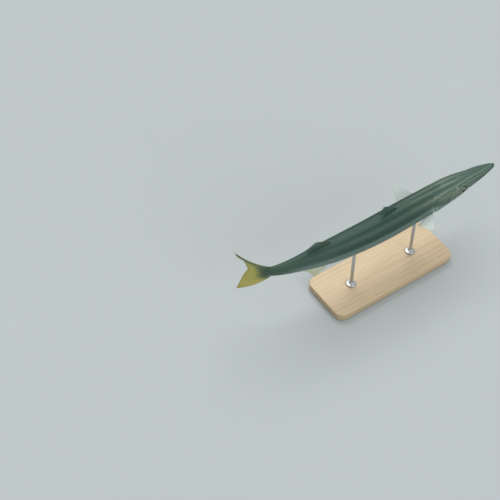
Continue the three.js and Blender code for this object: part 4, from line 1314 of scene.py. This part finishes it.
# The stand's base
# A flat board of pale oak with rounded corners and a small rounded edge, oiled to a satin finish.
# It lies flat on its underside.
BASE_CORNER = 14 * mm
BASE_EDGE = 1.5 * mm
BASE_CORNER_POINTS = 17
BASE_EDGE_RINGS = 7
base_low, base_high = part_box("stand_base")
half_length, half_width = (base_high.x - base_low.x) / 2, (base_high.y - base_low.y) / 2


def board_ring(inset, height):
    quarter = np.radians(np.linspace(0, 90, BASE_CORNER_POINTS))
    angle = np.concatenate([quarter + turn * math.pi / 2 for turn in range(4)])
    right = np.repeat([1, -1, -1, 1], BASE_CORNER_POINTS) * (half_length - BASE_CORNER)
    far = np.repeat([1, 1, -1, -1], BASE_CORNER_POINTS) * (half_width - BASE_CORNER)
    radius = BASE_CORNER - inset
    x, y = right + radius * np.cos(angle), far + radius * np.sin(angle)
    return np.stack([x, y, np.full(len(x), height)], axis=1)


quarter = np.radians(np.linspace(0, 90, BASE_EDGE_RINGS))
widening, rising = BASE_EDGE * (1 - np.sin(quarter)), BASE_EDGE * (1 - np.cos(quarter))
board_rings = [board_ring(inset, base_low.z + rise) for inset, rise in zip(widening, rising)]
board_rings += [board_ring(inset, base_high.z - fall) for inset, fall in zip(rising, widening)]
board_ends = [[(0, 0, base_low.z), (0, 0, base_high.z)]]
board_faces = capped_faces(len(board_rings), len(board_rings[0]))
board = mesh_piece("oak_board", np.concatenate(board_rings + board_ends), board_faces)

OAK = (0.48, 0.36, 0.22, 1)
OAK_LATE = (0.425, 0.31, 0.182, 1)
OAK_STREAK = (0.58, 0.45, 0.29, 1)
OAK_FIBRE = (0.55, 0.42, 0.27, 1)
OAK_VESSEL = (0.21, 0.135, 0.075, 1)
OAK_FLECK = (0.64, 0.51, 0.34, 1)
YEAR_WIDTH = 7.5 * mm
wood_finish, sockets, wire = finish_named(
    "oiled pale oak", Specular_IOR_Level=0.4, Coat_Weight=0.1, Coat_Roughness=0.32
)
wander = wire.noise(7, 3, 0.55, (0.3, 1, 1)) - 0.5
spread = wire.noise(22, 2, 0.5, (0.05, 1, 0.3)) * 0.02
across_grain = wire.distance("Y") + wire.distance("Z") * 0.35 + wander * 0.022 + spread
year = (across_grain * (2 * math.pi / YEAR_WIDTH)).sine() * 0.5 + 0.5
fibre = wire.noise(700, 4, 0.65, (0.035, 1, 1))
streak = wire.noise(120, 3, 0.6, (0.06, 1, 1))
vessel = wire.noise(1500, 2, 0.5, (0.05, 1, 1)).rises(0.6, 0.72) * (year * 0.8 + 0.2)
fleck = wire.noise(230, 2, 0.5, (0.35, 1, 1)).rises(0.66, 0.74)
late = year**2.2 * (0.4 + 0.6 * wire.noise(14, 2, 0.5, (0.2, 1, 1)).rises(0.3, 0.7))
colour = (streak.rises(0.35, 0.7) * 0.35).mix(late.mix(OAK, OAK_LATE), OAK_STREAK)
colour = ((fibre - 0.3) * 0.8).mix(colour, OAK_FIBRE)
colour = (vessel * 0.6).mix(colour, OAK_VESSEL)
(fleck * 0.4).mix(colour, OAK_FLECK).to(sockets["Base Color"])
(0.42 + fibre * 0.16 - fleck * 0.08).to(sockets["Roughness"])
(fibre * 0.4 - vessel).bumped(0.35, 0.12 * mm).to(sockets["Normal"])
mount(board, wood_finish, "stand_wood", "stand_base")


# The stand's rods
# Two drawn steel rods, each with a turned foot that is screwed to the board from below.
# Their upper ends are cut to the curve of the belly, just clear of it.
ROD_RADIUS = 2.5 * mm
ROD_CLEARANCE = 0.3 * mm
ROD_BEVEL = 0.25 * mm
# The radius and height of each ring of the foot, in millimetres.
FOOT_PROFILE = (
    (6.9, 0), (7.4, 0.12), (7.5, 0.4), (7.5, 1.3), (7.36, 1.62), (6.9, 1.9), (5.9, 2.2), (4.6, 2.5),
    (3.7, 2.85), (3.1, 3.3), (2.72, 3.9), (2.55, 4.6), (2.5, 5.4),
)
ROD_END_RINGS = (1.0, 0.94, 0.6, 0.25)
STEEL_DARK = (0.46, 0.47, 0.48, 1)
STEEL_LIGHT = (0.68, 0.69, 0.70, 1)
spin = np.linspace(0, 2 * math.pi, 64, endpoint=False)
circle = np.stack([np.cos(spin), np.sin(spin)], axis=1)
steel_finish, sockets, wire = finish_named("drawn steel", Metallic=1.0, Specular_IOR_Level=0.5)
drawn = wire.noise(900, 3, 0.6, (1, 1, 0.02))
smudge = wire.noise(45, 3, 0.6)
(drawn * 0.7).mix(STEEL_DARK, STEEL_LIGHT).to(sockets["Base Color"])
(0.22 + drawn * 0.14 + smudge * 0.12).to(sockets["Roughness"])
drawn.bumped(0.15, 0.03 * mm).to(sockets["Normal"])
for name, at in zip(("front", "rear"), ROD_PLACES):
    middle = point(at, 0, 0)[:2]
    foot_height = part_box("stand_rod_" + name)[0].z
    rings = [np.column_stack([circle * r * mm, np.full(len(spin), z * mm)]) for r, z in FOOT_PROFILE]
    rings = [ring + [*middle, foot_height] for ring in rings]
    _, belly, flank, _, _ = section(at)
    heading = float(heading_at(at))
    for inner in ROD_END_RINGS:
        left = circle @ [-math.sin(heading), math.cos(heading)] * ROD_RADIUS * inner
        top = AXIS_HEIGHT - belly * np.sqrt(1 - (left / flank) ** 2) - ROD_CLEARANCE
        top = top - ROD_BEVEL * (inner == 1.0)
        rings.append(np.column_stack([circle * ROD_RADIUS * inner + middle, top]))
    caps = [[*middle, foot_height], [*middle, AXIS_HEIGHT - belly - ROD_CLEARANCE]]
    rod_faces = capped_faces(len(rings), len(spin))
    rod = mesh_piece("steel_rod_" + name, np.concatenate(rings + [caps]), rod_faces)
    mount(rod, steel_finish, "stand_rod", "stand_rod_" + name)


# The floor
# A plain pale studio floor, matt, that runs far out of view on every side.
FLOOR_REACH = 30
floor_corners = [(x * FLOOR_REACH, y * FLOOR_REACH, 0) for x, y in ((-1, -1), (1, -1), (1, 1), (-1, 1))]
floor = mesh_piece("floor", floor_corners, [np.array([[0, 1, 2, 3]])])
floor_finish, sockets, wire = finish_named("plain pale floor", Roughness=0.85, Specular_IOR_Level=0.15)
wire.noise(3, 2).mix((0.37, 0.40, 0.405, 1), (0.39, 0.42, 0.425, 1)).to(sockets["Base Color"])
floor.data.materials.append(floor_finish)


# The light
# A broad soft light high over the fish's left side, as daylight falls on it, a weaker one from its right,
# and an even pale surround.
for name, strength, angle, colour, direction in (
    ("daylight", 2.4, 50, (1.0, 0.99, 0.97), (-0.2, -0.42, -0.88)),
    ("fill light", 1.2, 40, (0.97, 0.99, 1.0), (-0.15, 0.88, -0.42)),
):
    lamp = bpy.data.lights.new(name, "SUN")
    lamp.energy = strength
    lamp.angle = math.radians(angle)
    lamp.color = colour
    holder = bpy.data.objects.new(name, lamp)
    holder.rotation_euler = Vector(direction).to_track_quat("-Z", "Y").to_euler()
    bpy.context.scene.collection.objects.link(holder)
world = bpy.data.worlds.new("pale surround")
world.use_nodes = True
world.node_tree.nodes["Background"].inputs["Color"].default_value = (0.90, 0.95, 0.96, 1)
world.node_tree.nodes["Background"].inputs["Strength"].default_value = 0.6
bpy.context.scene.world = world
bpy.context.scene.view_settings.view_transform = "Standard"


# The camera
# It looks down on the fish from behind on its right, from about a metre and a half away.
CAMERA_AZIMUTH = math.radians(-34.111)
CAMERA_ELEVATION = math.radians(50)
CAMERA_DISTANCE = 1.50901
LOOKED_AT = Vector((-0.190084, 0.067863, AXIS_HEIGHT))
lens = bpy.data.cameras.new("camera")
lens.angle = math.radians(26)
camera = bpy.data.objects.new("camera", lens)
flat = math.cos(CAMERA_ELEVATION)
away = (math.sin(CAMERA_AZIMUTH) * flat, -math.cos(CAMERA_AZIMUTH) * flat, math.sin(CAMERA_ELEVATION))
away = Vector(away)
camera.location = LOOKED_AT + away * CAMERA_DISTANCE
camera.rotation_euler = (-away).to_track_quat("-Z", "Y").to_euler()
bpy.context.scene.collection.objects.link(camera)
bpy.context.scene.camera = camera
